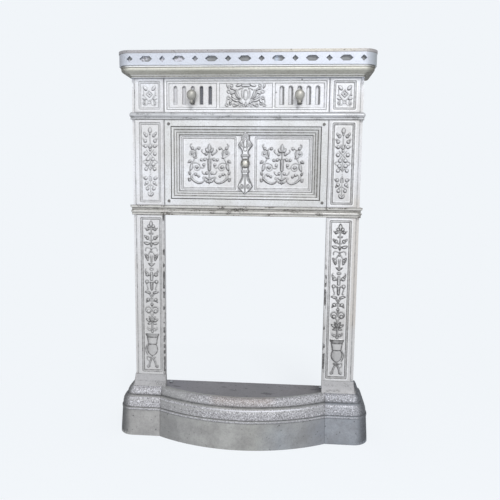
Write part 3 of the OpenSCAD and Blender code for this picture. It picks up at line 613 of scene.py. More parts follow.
def axes_of(tree, where):
    """The coordinates of a place, by the letters of their axes."""
    return add_node(tree, "ShaderNodeSeparateXYZ", {"Vector": where}).outputs


def blend(tree, share, a, b):
    """Colour a with a share of colour b mixed in."""
    made = add_node(tree, "ShaderNodeMix", {"Factor": share}, data_type="RGBA")
    for socket, colour in ((made.inputs[6], a), (made.inputs[7], b)):
        if isinstance(colour, bpy.types.NodeSocket):
            tree.links.new(colour, socket)
        else:
            socket.default_value = (*colour, 1.0)
    return made.outputs[2]


def laid_over(tree, where, colour, stains_and_light):
    """Colour with patches over it, of staining and of painted light and shade, each of which gives a share
    and a colour of its own.
    """
    for stain_and_light in stains_and_light:
        share, tone = stain_and_light(tree, where)
        colour = blend(tree, share, colour, tone)
    return colour


# Palette
SILVER_LIGHT = (0.745, 0.76, 0.81)
SILVER_DULL = (0.57, 0.56, 0.555)
# The silver, warm and iron dirt colours also serve as painted shade
SILVER_DIRT_AND_SHADE = (0.085, 0.083, 0.082)
SILVER_PIT = (0.40, 0.40, 0.41)
WARM_DIRT_AND_SHADE = (0.075, 0.068, 0.058)
IRON_DIRT_AND_SHADE = (0.075, 0.078, 0.085)
IRON_PIT = (0.17, 0.165, 0.17)
BARE_IRON = (0.45, 0.446, 0.475)
BARE_WARM_IRON = (0.53, 0.525, 0.56)
BARE_BLUE_IRON = (0.42, 0.425, 0.465)
# Bare silver, also the colour of painted highlights
SILVER_BARE_AND_HIGHLIGHT = (0.95, 0.955, 0.97)
# Rubbed iron, also the colour of the painted highlight on the bands of the plinths and fender
RUBBED_IRON_AND_HIGHLIGHT = (0.68, 0.69, 0.74)
BRIGHT_FLECK = (0.88, 0.88, 0.93)
# Well beyond the part, for stains that run to its edge
FAR = 400


def cast_finish(name, light, dull, dirt=SILVER_DIRT_AND_SHADE, pit=SILVER_PIT, metal=0.3, rough=0.42, bare=None,
                dotted=False, pitting=0.5, bump=0.25, low_dull=0.0, scars=0.0, mottle=0.0, stains_and_light=(),
                rust=()):
    """Cast metal: broad patches between light and dull, duller towards the floor, mottling, dark pits and
    scars. One attribute of the piece lays dirt and painted shade on it in the dirt colour, and another bares
    it, as worn metal and as painted highlight. On a dotted finish, half bare metal is stippled with dark dots
    and bright flecks, and wholly bare metal is rubbed iron with a painted highlight. The patches of staining
    and of painted light and shade lie under the mottling and the bare metal, and rust lies over them."""
    finish, tree, shader, where = new_finish(name)
    broad = spread(tree, noise(tree, where, 26, 4), 0.34, 0.68)
    fine = noise(tree, where, 650, 5, 0.65)
    grain = noise(tree, where, 1100, 2, 0.6)
    colour = blend(tree, broad, light, dull)
    colour = blend(tree, spread(tree, fine, 0.3, 0.75, 0, 0.5), colour, dull)
    if low_dull:
        near_floor = spread(tree, axes_of(tree, where)["Z"], 0.21, 0.1, 0, low_dull)
        colour = blend(tree, near_floor, colour, dull)
    colour = laid_over(tree, where, colour, stains_and_light)
    if mottle:
        clouds = noise(tree, where, 120, 6, 0.65)
        colour = blend(tree, spread(tree, clouds, 0.42, 0.66, 0, mottle), colour, pit)
    if bare is not None:
        # Bare metal: worn metal, and painted highlight where the attribute carries it
        bare_and_highlight = attribute(tree, "bare_and_highlight")
        worn = spread(tree, fine, 0.3, 0.6, 0.6, 1.0)
        bare_and_highlight_share = spread(tree, bare_and_highlight, 0.0, 0.5) if dotted else bare_and_highlight
        colour = blend(tree, times(tree, bare_and_highlight_share, worn), colour, bare)
        if dotted:
            stippled = times(tree, spread(tree, bare_and_highlight, 0.1, 0.35), spread(tree, bare_and_highlight, 0.95, 0.65))
            cells = noise(tree, where, 1050, 1.5, 0.5)
            flecks = times(tree, stippled, spread(tree, cells, 0.42, 0.3, 0, 0.7))
            dots = times(tree, stippled, spread(tree, cells, 0.5, 0.63, 0, 0.8))
            colour = blend(tree, flecks, colour, BRIGHT_FLECK)
            colour = blend(tree, dots, colour, pit)
            # Painted highlight of rubbed iron on wholly bare metal
            colour = blend(tree, spread(tree, bare_and_highlight, 0.6, 1.0, 0, 0.75), colour, RUBBED_IRON_AND_HIGHLIGHT)
    colour = laid_over(tree, where, colour, rust)
    # Dirt and painted shade, from the piece's attribute
    dirt_and_shade_share = times(tree, attribute(tree, "dirt_and_shade"), spread(tree, fine, 0.25, 0.7, 0.7, 1.15))
    if scars:
        scar = spread(tree, noise(tree, where, 380, 3, 0.6), 0.66, 0.71, 0, scars)
        dirt_and_shade_share = maths(tree, "ADD", dirt_and_shade_share, scar)
    colour = blend(tree, dirt_and_shade_share, colour, dirt)
    pits = spread(tree, grain, 0.5, 0.72, 0, pitting)
    colour = blend(tree, pits, colour, pit)
    uneven = spread(tree, fine, 0.2, 0.8, rough - 0.08, rough + 0.1)
    roughness = maths(tree, "ADD", uneven, times(tree, dirt_and_shade_share, 0.25))
    height = maths(tree, "ADD", times(tree, fine, 0.7), times(tree, grain, 0.3))
    relief = add_node(tree, "ShaderNodeBump", {"Strength": bump, "Distance": 0.0003, "Height": height})
    tree.links.new(colour, shader.inputs["Base Color"])
    tree.links.new(roughness, shader.inputs["Roughness"])
    tree.links.new(relief.outputs["Normal"], shader.inputs["Normal"])
    shader.inputs["Metallic"].default_value = metal
    return finish


def stain_and_painted_light(colour, most, x_range=None, z_range=None, fade=10.0, patchy=70):
    """Patch of a colour over a range of x and of z in millimetres, fading out over its borders and broken up
    by noise, at most so strong, for staining and for painted light and shade."""
    def stain_and_light(tree, where):
        axes = axes_of(tree, where)
        share = spread(tree, noise(tree, where, patchy, 4), 0.35, 0.6, 0.75 * most, most)
        for axis, reach in (("X", x_range), ("Z", z_range)):
            if reach is not None:
                low, high = reach
                rising = spread(tree, axes[axis], (low - fade) * MM, (low + fade) * MM)
                falling = spread(tree, axes[axis], (high + fade) * MM, (high - fade) * MM)
                share = times(tree, share, times(tree, rising, falling))
        return share, colour
    return stain_and_light


def scratched(tree, where):
    """Dark scrapes, longer from side to side, on the hearth."""
    drawn_out = add_node(tree, "ShaderNodeMapping", {"Vector": where, "Scale": (0.35, 1.0, 1.0)}).outputs[0]
    return spread(tree, noise(tree, drawn_out, 210, 4, 0.6), 0.6, 0.66, 0, 0.75), (0.075, 0.07, 0.085)


def base_iron(name, light, dull, bare, stains_and_light, scars=0.8, rust=()):
    """Rough, mottled iron of the plinths and the fender, with its stipple."""
    return cast_finish(name, light, dull, IRON_DIRT_AND_SHADE, IRON_PIT, metal=0.25, rough=0.5, bare=bare, dotted=True,
                       pitting=0.35, bump=0.4, scars=scars, mottle=0.4, stains_and_light=stains_and_light, rust=rust)


warm_strip = stain_and_painted_light((0.55, 0.50, 0.44), 0.5, (85, 95), (95, 200), fade=3, patchy=90)
# Painted light over the right jamb's upper part
painted_light_on_right_jamb = stain_and_painted_light((0.85, 0.845, 0.86), 0.75, (63, 85), (105, 190), fade=7)
silver = cast_finish("worn_silver", SILVER_LIGHT, SILVER_DULL, bare=SILVER_BARE_AND_HIGHLIGHT, low_dull=0.75,
                     stains_and_light=[painted_light_on_right_jamb, warm_strip])
rail_silver = cast_finish("rail_silver", (0.61, 0.625, 0.66), (0.47, 0.475, 0.49))
frame_silver = cast_finish("frame_silver", (0.705, 0.72, 0.755), (0.54, 0.54, 0.53), WARM_DIRT_AND_SHADE,
                           (0.35, 0.34, 0.32), rough=0.44)
rail_warm = cast_finish("lower_rail_silver", (0.69, 0.685, 0.67), (0.49, 0.48, 0.455), WARM_DIRT_AND_SHADE,
                        (0.33, 0.31, 0.28), rough=0.44, scars=0.4)
die_silver = cast_finish("die_silver", (0.50, 0.495, 0.51), (0.40, 0.395, 0.40), pit=(0.28, 0.28, 0.29),
                         metal=0.25, rough=0.56, scars=0.4)
tarnished = cast_finish("tarnished_silver", (0.78, 0.77, 0.70), (0.60, 0.59, 0.525), WARM_DIRT_AND_SHADE,
                        (0.36, 0.345, 0.29), rough=0.46, bare=SILVER_BARE_AND_HIGHLIGHT, pitting=0.35)
band_silver = cast_finish("band_silver", (0.60, 0.635, 0.715), (0.50, 0.525, 0.59), stains_and_light=[
    # The first two patches are painted shade on the band's rounded ends, where it turns to the sides
    stain_and_painted_light((0.21, 0.21, 0.235), 0.9, (-FAR, -98.5), fade=5, patchy=20),
    stain_and_painted_light((0.24, 0.27, 0.275), 0.9, (97.0, FAR), fade=4.5, patchy=20),
    stain_and_painted_light((0.20, 0.17, 0.14), 0.75, z_range=(shelf_z - 0.35, FAR), fade=0.3, patchy=90),
])
cream_edge = stain_and_painted_light((0.56, 0.53, 0.465), 0.9, (16, 88), fade=12, patchy=120)
shelf_silver = cast_finish("shelf_silver", (0.415, 0.405, 0.425), (0.32, 0.31, 0.325), WARM_DIRT_AND_SHADE,
                           (0.24, 0.21, 0.18), rough=0.5, pitting=0.6, scars=0.8, stains_and_light=[cream_edge])
left_iron = base_iron("left_foot_iron", (0.52, 0.512, 0.504), (0.36, 0.355, 0.35), BARE_WARM_IRON, [
    # Painted shade on the left foot's corner, where it turns to the side
    stain_and_painted_light((0.27, 0.275, 0.265), 0.8, (-FAR, -97), (-FAR, 22), fade=4),
])
right_iron = base_iron("right_foot_iron", (0.395, 0.415, 0.455), (0.27, 0.29, 0.325), BARE_BLUE_IRON, [
    stain_and_painted_light((0.235, 0.255, 0.285), 0.85, z_range=(-FAR, 4), fade=6),
    # Painted shade on the right foot's corner, where it turns to the side
    stain_and_painted_light((0.19, 0.215, 0.25), 0.8, (98, FAR), (-FAR, 22), fade=4),
], scars=0.9)
band_rust = stain_and_painted_light((0.34, 0.255, 0.20), 0.38, (-24, 26), (35.0, 42), fade=4, patchy=320)
fender_iron = base_iron("fender_iron", (0.48, 0.48, 0.475), (0.33, 0.33, 0.315), BARE_IRON, [
    stain_and_painted_light((0.25, 0.25, 0.25), 0.85, (-FAR, -40), (-FAR, 31), fade=18),
    stain_and_painted_light((0.31, 0.345, 0.40), 0.6, (22, 42), (-FAR, 22), fade=10),
    stain_and_painted_light((0.24, 0.256, 0.295), 0.9, (50, FAR), (-FAR, 31), fade=16),
], rust=[band_rust])
hearth_tones = [stain_and_painted_light((0.265, 0.26, 0.295), 0.8, (-FAR, -52), fade=22),
                stain_and_painted_light((0.13, 0.115, 0.11), 0.7, (52, FAR), fade=22), scratched]
hearth_iron = cast_finish("hearth_iron", (0.27, 0.262, 0.28), (0.195, 0.19, 0.202), (0.065, 0.065, 0.07),
                          (0.29, 0.29, 0.315), metal=0.2, rough=0.6, pitting=0.35, bump=0.5, scars=0.9,
                          stains_and_light=hearth_tones)
plain_steel = cast_finish("plain_steel", (0.42, 0.43, 0.45), (0.30, 0.31, 0.33), (0.10, 0.10, 0.10),
                          (0.22, 0.21, 0.20), metal=0.9, pitting=0.35, bump=0.1)
dark_screw = cast_finish("dark_screw", (0.19, 0.185, 0.18), (0.11, 0.105, 0.10), (0.05, 0.05, 0.05),
                         (0.30, 0.29, 0.27), metal=0.5, rough=0.5, pitting=0.35, bump=0.2)
pewter = cast_finish("pewter", (0.52, 0.505, 0.465), (0.41, 0.40, 0.37), (0.07, 0.07, 0.065),
                     (0.24, 0.23, 0.21), metal=0.6, rough=0.5, pitting=0.3, bump=0.15)
bright_button = cast_finish("bright_button", (0.74, 0.72, 0.66), (0.62, 0.60, 0.54), (0.09, 0.09, 0.085),
                            (0.45, 0.42, 0.38), metal=0.4, pitting=0.15, bump=0.08)


def painted_shade_to_the_right(tree, where):
    """Painted shade on the inner half of the left register's shutter."""
    edge = -(REGISTER_X - 1.5) * MM
    share = spread(tree, axes_of(tree, where)["X"], edge - 0.002, edge + 0.002, 0.0, 0.95)
    return share, (0.085, 0.09, 0.105)


# Shade behind the right-hand side of each slot of the right register
slot_shade = [stain_and_painted_light((0.10, 0.10, 0.105), 0.9, (x + 0.35, x + 1.6), fade=0.3) for x in SLOTS_X]
pale_shutter = cast_finish("pale_shutter", (0.74, 0.745, 0.77), (0.62, 0.62, 0.64), metal=0.2, rough=0.5,
                           pitting=0.35, stains_and_light=slot_shade)
# Left shutter, with painted shade on its inner half
painted_shade_shutter = cast_finish("painted_shade_shutter", (0.64, 0.64, 0.66), (0.52, 0.52, 0.54), metal=0.2, rough=0.5,
                            pitting=0.35, stains_and_light=[painted_shade_to_the_right])

SLOT_FINISH = {"silver_iron": silver, "base_iron": fender_iron, "hearth_iron": hearth_iron,
               "plain_steel": plain_steel, "polished_metal": pewter}
for part in frame["record"]["subparts"]:
    node = frame["nodes"][part["node"]]
    node.data.materials.clear()
    node.data.materials.append(SLOT_FINISH[part["material_slot"]])
NODE_FINISH = {"left_shutter": painted_shade_shutter, "right_shutter": pale_shutter, "lintel_screws": dark_screw,
               "shelf_plate": shelf_silver, "cornice": band_silver, "lintel_frame": frame_silver,
               "left_plinth": left_iron, "right_plinth": right_iron}
for name, finish in NODE_FINISH.items():
    frame["nodes"][name].data.materials[0] = finish


# Carved fronts of the columns

def inside_panel(x, z, half_w, half_h, corner=1.0):
    """Distance inside a rectangle with rounded corners, below 0 outside it."""
    over_x = np.abs(x) - half_w + corner
    over_z = np.abs(z) - half_h + corner
    outer = np.hypot(np.maximum(over_x, 0), np.maximum(over_z, 0))
    return corner - outer - np.minimum(np.maximum(over_x, over_z), 0)


def sunk_panel(x, z, half_w, half_h):
    """Depth, dirt, rubbed edges and ledge of a panel sunk in two steps inside |x| < half_w, |z| < half_h. The
    ledge is 1 between the steps, and 0 elsewhere."""
    inside = inside_panel(x, z, half_w, half_h)
    depth = PANEL_SINK * (step_up(inside, PANEL_SOFT) + step_up(inside - PANEL_STEP, PANEL_SOFT))
    ledge = smooth(inside / 0.2) * smooth((PANEL_STEP - inside) / 0.2)
    dirt = 0.75 * bell(inside - 0.05, 0.3) + 0.85 * bell(inside - PANEL_STEP - 0.05, 0.34) + 0.12 * ledge
    rubbed = 0.7 * bell(inside + 0.7, 0.4) + 0.5 * bell(inside - PANEL_STEP - 0.85, 0.45)
    return depth, dirt, rubbed, ledge


def panel_breaks(middle, half):
    """Grid breaks at the edges of a sunk panel: a pair of lines on either side of each step."""
    steps = np.array([half, half - PANEL_STEP])
    edges = np.concatenate([middle - steps, middle + steps])
    return np.concatenate([edges - PANEL_SOFT, edges + PANEL_SOFT])


def column_face(name, side, z_low, z_high, strokes, turnings=(), dirtiness=1.0, chipped=1.0, line=0.3,
                step=0.22):
    """Carved front of one column casting: a sunk panel with ornament, dark along its joints and arrises, and
    chipped on the opening's side. Its x runs from the panel's axis, outwards on the right and inwards on the
    left."""
    half_h = (z_high - z_low) / 2 - PANEL_END
    middle = (z_low + z_high) / 2
    field = PANEL_HALF - PANEL_STEP - 0.3
    ends = side * np.array([OPEN_X + SHY - PANEL_X, ARRIS_X - SHY - PANEL_X])
    xs = np.unique(np.concatenate([
        lines_between([-field, field], step),
        lines_between(np.append(panel_breaks(0, PANEL_HALF), ends), 0.45),
    ]))
    xs = xs[(np.abs(xs) <= field) | (np.abs(xs) > field + 0.1)]
    zs = lines_between(np.append(panel_breaks(middle, half_h), [z_low + SHY, z_high - SHY]), step)
    x, z = np.meshgrid(xs, zs)
    depth, dirt, rubbed, ledge = sunk_panel(x, z - middle, PANEL_HALF, half_h)
    carving = Carving(xs, zs, line)
    carving.lay(strokes, height=0.8)
    for profile, film in turnings:
        carving.turn(0, profile, 0.85, film)
    seed = z_low + 7 * side
    from_opening = x * side + PANEL_X - OPEN_X
    from_arris = COLUMN_W - from_opening
    groups = smooth(4 * speckle(z, 0 * x, 17, seed + 3) - 0.6)
    flakes = groups * smooth(6 * speckle(z / 1.7, x, 1.5, seed) - 2.3)
    chip = np.minimum(1.9 * chipped ** 2 * smooth(3.3 - from_opening / 0.7) * flakes, 1)
    chip = chip + smooth(1.3 - from_arris / 0.7) * smooth(5 * speckle(z, x, 4.3, seed + 1) - 3.1)
    border = (0.08 + 0.06 * side) * (1.15 - chipped) * ledge
    dirt = dirt + border + (0.2 - 0.06 * side) * chipped * smooth((3.0 - from_opening) / 1.2)
    joints = 0.75 * bell(np.minimum(z - z_low, z_high - z), 0.4)
    arris = np.maximum((0.6 + 0.25 * chipped) * bell(from_opening, 0.4), 0.75 * bell(from_arris, 0.5))
    # Dirt with the carving's painted shade and shadow; rubbed edges, made brighter on the right as painted
    # light, with the carving's painted highlight
    carved = np.maximum(dirt, carving.dirt_and_shade()) * dirtiness
    bare_and_highlight = np.maximum(rubbed * (0.6 + 0.4 * side), carving.bare_and_highlight())
    dirt_and_shade = np.maximum.reduce([carved, chip, joints, arris]) * blotches(x, z, seed + 2)
    face = depth - carving.rise - PROUD + 0.08 * np.minimum(chip, 1)
    return front_piece(name, xs + side * PANEL_X, zs, face, dirt_and_shade, bare_and_highlight, back=1.9)


def jamb_spray():
    """Candelabrum of drops, leaves and rings over a footed urn, as strokes and turned shapes with their film
    of dirt. Heights are above the jamb's foot."""
    half = [
        bead(-1.7, 126.4, 1.29),
        bead(-3.3, 123.9, 1.01),
        leaf((-0.6, 124.4), (-5.3, 124.9), 0.5, 0.12),
        bead(-1.3, 120.4, 0.56),
        bead(-3.2, 116.7, 1.29),
        leaf((-3.6, 117.1), (-5.6, 118.7), 0.6, 0.1),
        through([(-2.2, 115.9), (-1.2, 115.1), (-0.4, 115.3)], 0.3),
        leaf((-2.0, 111.8), (-6.0, 112.9), 0.9, 0.05),
        through([(-1.2, 108.1), (-3.4, 108.7), (-4.8, 107.7), (-4.9, 106.1)], 0.25, 0.2),
        through([(-0.3, 106.3), (-1.5, 104.6), (-2.8, 102.7)], 0.3),
        bead(-3.7, 100.9, 1.46),
        leaf((-4.0, 101.3), (-5.4, 103.1), 0.7),
        leaf((-3.5, 100.3), (-3.0, 97.9), 0.75),
        through([(-0.8, 102.1), (-0.5, 99.3), (-0.3, 96.5)], 0.26),
        bead(-3.6, 86.1, 1.46),
        leaf((-4.0, 86.7), (-5.4, 89.1), 0.65),
        through([(-5.3, 88.9), (-5.4, 89.9), (-4.9, 90.6)], 0.26, 0.2),
        through([(-2.4, 85.7), (-1.4, 85.4), (-0.8, 85.9)], 0.4),
        bead(-4.0, 79.9, 1.34),
        through([(-2.9, 80.1), (-1.8, 79.9), (-1.0, 79.1)], 0.42),
        through([(-4.5, 78.5), (-3.9, 76.5), (-3.1, 73.9), (-3.8, 73.3)], 0.27, 0.22),
        leaf((-1.4, 69.9), (-5.7, 71.2), 0.85, -0.1),
        ring((-1.9, 70.6), 0.75, 0.34),
        through([(-1.6, 69.3), (-0.9, 68.1), (0, 67.0)], 0.42),
        bead(-3.2, 64.5, 1.34),
        leaf((-3.6, 64.3), (-4.8, 62.3), 0.5),
        through([(-0.2, 66.3), (-1.2, 65.7), (-2.2, 65.1)], 0.28),
        bead(-1.6, 63.9, 0.50),
        ring((-2.9, 56.2), 2.45, 0.4),
        bead(-3.0, 54.6, 1.46),
        through([(-1.6, 53.1), (-0.9, 52.3), (-0.2, 50.3)], 0.32),
        leaf((-0.8, 46.5), (-4.9, 48.1), 0.8, 0.12),
        leaf((-0.6, 46.3), (-2.5, 49.9), 0.9, -0.1),
        leaf((-0.6, 44.6), (-3.7, 43.7), 0.65),
        ring((-2.2, 39.2), 1.0, 0.34),
        through([(-3.0, 38.5), (-4.2, 39.5), (-4.0, 40.9)], 0.26, 0.2),
        bead(-1.7, 14.7, 0.67),
        through([(-0.5, 13.9), (-1.8, 11.5), (-2.6, 9.2), (-2.9, 7.2)], 0.55),
        curl((-3.7, 6.6), 1.1, 0, 0.9, 0.42),
    ]
    centre = [
        leaf((0, 126.1), (0, 130.7), 1.25),
        through([(0, 113.7), (0, 118.7), (0, 125.3)], 0.4),
        bead(0, 107.5, 0.67),
        bead(0, 105.5, 0.67),
        ring((0, 90.8), 1.3, 0.36, 0.7),
        bead(0, 68.5, 0.56),
        through([(0, 61.7), (0, 64.2), (0, 66.7)], 0.3),
        bead(0, 60.6, 1.01),
        leaf((0, 60.3), (0, 58.1), 0.4),
        through([(0, 39.3), (0, 42.2), (0, 45.3)], 0.55),
        bead(0, 37.3, 0.95),
        ring((0, 14.8), 0.75, 0.42),
        through([(4.1, 25.9), (5.6, 23.2), (5.6, 20.1), (4.2, 17.3)], 0.42, 0.3),
        through([(1.6, 14.1), (4.2, 15.4), (4.6, 13.0), (2.9, 11.3)], 0.3, 0.22),
    ]
    bud = [(109.2, 0.2), (111.1, 0.9), (112.9, 1.4)]
    cup = [(93.0, 0.3), (93.9, 1.6), (95.0, 2.5), (95.9, 2.8)]
    stem = [(81.1, 1.0), (85.7, 1.1), (88.5, 0.6)]
    baluster = [(72.4, 0.4), (74.1, 1.0), (76.7, 1.05), (79.3, 1.2), (79.9, 0.8)]
    core = [(45.1, 0.3), (46.3, 1.8), (47.9, 2.5), (49.5, 1.5)]
    rim = [(32.2, 4.4), (33.3, 4.9), (34.7, 5.7), (35.7, 5.2)]
    neck = [(26.4, 3.7), (28.2, 3.8), (30.2, 4.1), (32.2, 4.6)]
    bowl = [(16.4, 0.9), (17.2, 2.3), (18.5, 3.5), (20.2, 4.2),
            (21.9, 4.4), (23.7, 4.2), (25.2, 3.6), (26.2, 2.9)]
    turnings = [(bud, 0.6), (cup, 0.6), (stem, 0.15), (baluster, 0.55), (core, 0.6), (rim, 0.55),
                (neck, 0.12), (bowl, 0.25)]
    return mirrored(half) + centre, turnings


def lintel_block_spray():
    """Spray of paired drops and leaves on one stem. Heights are from the block's middle."""
    half = [
        bead(-3.1, 22.8, 1.3),
        leaf((-3.4, 23.2), (-5.0, 25.6), 0.75, 0.1),
        bead(-4.0, 18.2, 1.35),
        leaf((-4.4, 18.8), (-5.9, 20.4), 0.5),
        bead(-3.8, 13.7, 1.25),
        leaf((-4.4, 13.6), (-6.0, 14.4), 0.5),
        through([(-0.2, 12.2), (-1.4, 13.4), (-1.5, 15.4)], 0.55, 0.35),
        bead(-3.8, 7.1, 1.35),
        through([(-2.9, 10.4), (-1.4, 8.6), (0, 7.2), (1.4, 5.6), (2.2, 4.0)], 0.26),
        through([(-4.6, 6.2), (-5.2, 7.6), (-4.2, 9.0)], 0.26),
        bead(-2.1, 2.3, 1.4),
        bead(-2.4, -2.0, 1.5),
        through([(-3.6, 1.8), (-5.4, 1.0), (-6.0, 0.1), (-5.2, -0.9), (-3.8, -1.4)], 0.26),
        through([(-1.6, -4.2), (-0.8, -5.2), (0, -6.4)], 0.5, 0.35),
        bead(-3.5, -6.0, 1.3),
        through([(-2.4, -5.2), (-1.4, -4.6), (-0.4, -4.2)], 0.26),
        bead(-3.9, -14.1, 1.3),
        leaf((-4.4, -14.0), (-6.0, -13.4), 0.5),
        through([(-0.9, -15.6), (-0.9, -13.0), (0, -11.6)], 0.38),
        bead(-3.2, -18.0, 1.25),
        leaf((-3.6, -18.6), (-5.0, -20.2), 0.5),
        through([(-0.6, -19.4), (-1.6, -20.4), (-2.4, -20.8)], 0.3),
        bead(-2.6, -23.1, 1.3),
        leaf((0, -29.2), (-1.9, -26.4), 0.85, 0.1),
    ]
    centre = [
        leaf((0, 25.6), (0, 29.4), 1.35),
        leaf((0, 23.4), (0, 25.8), 0.55),
        through([(0, 16.0), (0, 19.0), (0, 23.6)], 0.3),
        leaf((0, 11.8), (0, 15.4), 1.0),
        leaf((0, 9.8), (0, 11.6), 0.75),
        through([(0, -26.0), (0, -18.0), (0, -6.0)], 0.28),
        through([(0, -4.0), (0, 0), (0, 4.6)], 0.3),
    ]
    return mirrored(half) + centre


def frieze_block_spray():
    """Two bell flowers, a lozenge flower and curls. Heights are from the block's middle."""
    half = [
        leaf((-2.4, 4.4), (-5.0, 7.4), 1.16),
        through([(-4.9, 4.6), (-4.7, 1.4), (-2.8, -1.8), (-0.6, -4.2)], 0.34),
        leaf((-2.8, -2.7), (-5.8, -2.2), 0.68, 0.1),
        bead(-5.2, 0.2, 0.52),
        curl((-4.2, -5.9), 1.4, 60, 1.1, 0.4),
        through([(0, 3.9), (-1.2, 2.7), (-2.4, 1.3), (-1.2, 0), (0, -1.2)], 0.4),
        through([(-0.8, -5.4), (-2.2, -7.2), (-4.6, -8.0)], 0.28, 0.2),
    ]
    return mirrored(half) + [bead(0, 1.3, 0.64), ring((0, -4.9), 1.2, 0.36)]


jamb_strokes, jamb_turnings = jamb_spray()
block_strokes = [(points * (1, 0.93), wide) for points, wide in lintel_block_spray()]
foot = jamb_low[2]
turnings = [(raised(profile, foot), film) for profile, film in jamb_turnings]
for side, word in SIDES:
    wear = 1.05 + 0.15 * side
    strokes = moved(jamb_strokes, 0, foot, side)
    column_face(f"{word}_jamb_carving", side, foot, jamb_high[2], strokes, turnings, 1.2 * wear, line=0.42)
    column_face(f"{word}_lintel_block_carving", side, block_low[2], block_high[2],
                moved(block_strokes, 0, LINTEL_MID + 0.5, side), dirtiness=0.9 * wear, chipped=0.3)
    column_face(f"{word}_frieze_block_carving", side, frieze_block_low[2], frieze_block_high[2],
                moved(frieze_block_spray(), 0, FRIEZE_MID, side), dirtiness=0.75 * wear, chipped=0.2)


# Lintel: stepped frame, panel with two carved squares, strap and boss

# Axis of the ornament in each square
SQUARE_AXIS = 29.4
# Outline of the centre strap: heights from the lintel's middle, and half-widths
STRAP_OUTLINE = [
    (-25.0, 0.25), (-23.6, 1.2), (-21.8, 2.8), (-20.2, 4.6), (-18.6, 5.7), (-16.6, 5.0), (-14.4, 4.1),
    (-12.0, 3.0), (-9.6, 2.3), (-8.0, 2.1), (-7.4, 2.2), (-7.1, 2.9), (-5.4, 2.9), (-5.0, 2.2), (-3.6, 2.2),
    (0, 2.6), (3.6, 2.2), (4.7, 2.2), (5.1, 3.3), (7.0, 3.3), (7.5, 2.2), (9.8, 2.2), (11.4, 3.0),
    (13.0, 4.6), (14.6, 5.6), (16.2, 4.8), (18.4, 2.9), (19.4, 2.8), (20.8, 3.1), (22.2, 2.6), (24.0, 1.1),
    (25.0, 0.25),
]


def loop_piece(name, half_w, low, high, profile, dirt_and_shade, film, finish, step=1.0):
    """Closed frame: a closed profile of [inset, y] points carried round a rectangle with mitred corners.
    At inset d, a side's points run evenly between the corners of the rectangle inset by d. Its marks have two
    values for each point of the profile: the dirt of its lines, and its share of the painted shade, the film
    that lies over the lower, right, upper and left side."""
    inset, y = np.array(profile, float).T
    corners = np.stack([
        np.stack([-half_w + inset, low + inset], axis=1), np.stack([half_w - inset, low + inset], axis=1),
        np.stack([half_w - inset, high - inset], axis=1), np.stack([-half_w + inset, high - inset], axis=1),
    ])
    sides = []
    over = []
    for k, length in enumerate((2 * half_w, high - low, 2 * half_w, high - low)):
        t = np.linspace(0, 1, int(length / step), endpoint=False)[None, :, None]
        sides.append(corners[k][:, None] * (1 - t) + corners[(k + 1) % 4][:, None] * t)
        over.append(np.full(t.shape[1], film[k]))
    flat = np.concatenate(sides + [sides[0][:, :1]], axis=1)
    over = np.concatenate(over + [over[0][:1]])
    rows, cols = flat.shape[:2]
    points = np.stack([flat[..., 0], np.repeat(y[:, None], cols, axis=1), flat[..., 1]], axis=-1)
    points = np.concatenate([points, points[:1]])
    lines, faces = np.hstack([dirt_and_shade, dirt_and_shade[:, :1]])[..., None]
    dirt = (lines + faces * over) * (0.75 + 0.5 * speckle(points[..., 0], points[..., 2], 2.1, 5))
    return add_piece(name, points.reshape(-1, 3), grid_quads(rows + 1, cols), [], finish, dirt)


def lintel_frame_skin():
    """Border, groove and three sloped steps of the lintel frame: one profile from its outer edge inwards."""
    y = lintel_low[1]
    inner, behind = SIGHT_EDGE - SHY, y + 2.4
    border, first, second, third = 5.2, 5.8, 7.8, 9.8
    steps = [(SHY, y), (border, y), (border, y + 1.5), (first, y + 1.5), (first, y - 0.1),
             (second, y + 0.28), (second, y + 0.6), (third, y + 0.88), (third, y + 1.2), (inner, y + 1.48)]
    face, _ = resampled(np.array(steps), 90)
    face = running_mean(face, 1)
    hollow = face[:, 1] - running_mean(face, 6)[:, 1]
    lines = np.clip(hollow / 0.2, 0, 1) + 0.8 * bell(face[:, 0], 0.3)
    for inset, strength in ((second + 0.05, 1.0), (third + 0.05, 0.85), (SIGHT_EDGE - 0.1, 0.9)):
        lines = np.maximum(lines, strength * bell(face[:, 0] - inset, 0.3))
    # Share of the painted shade on the stepped part of the frame
    faces = smooth((face[:, 0] - 5.0) / 0.4) * (1 - 0.5 * smooth((face[:, 0] - 9.0) / 1.5))
    face[:, 1] -= PROUD
    profile = np.vstack([face, [(inner, behind), (SHY, behind)]])
    dirt_and_shade = np.pad([lines, faces], ((0, 0), (0, 2)))
    # film: painted shade on the lower, right, upper and left side
    return loop_piece("lintel_frame_skin", lintel_high[0], lintel_low[2], lintel_high[2], profile, dirt_and_shade,
                      film=(0.12, 0.26, 0.08, 0), finish=frame_silver)


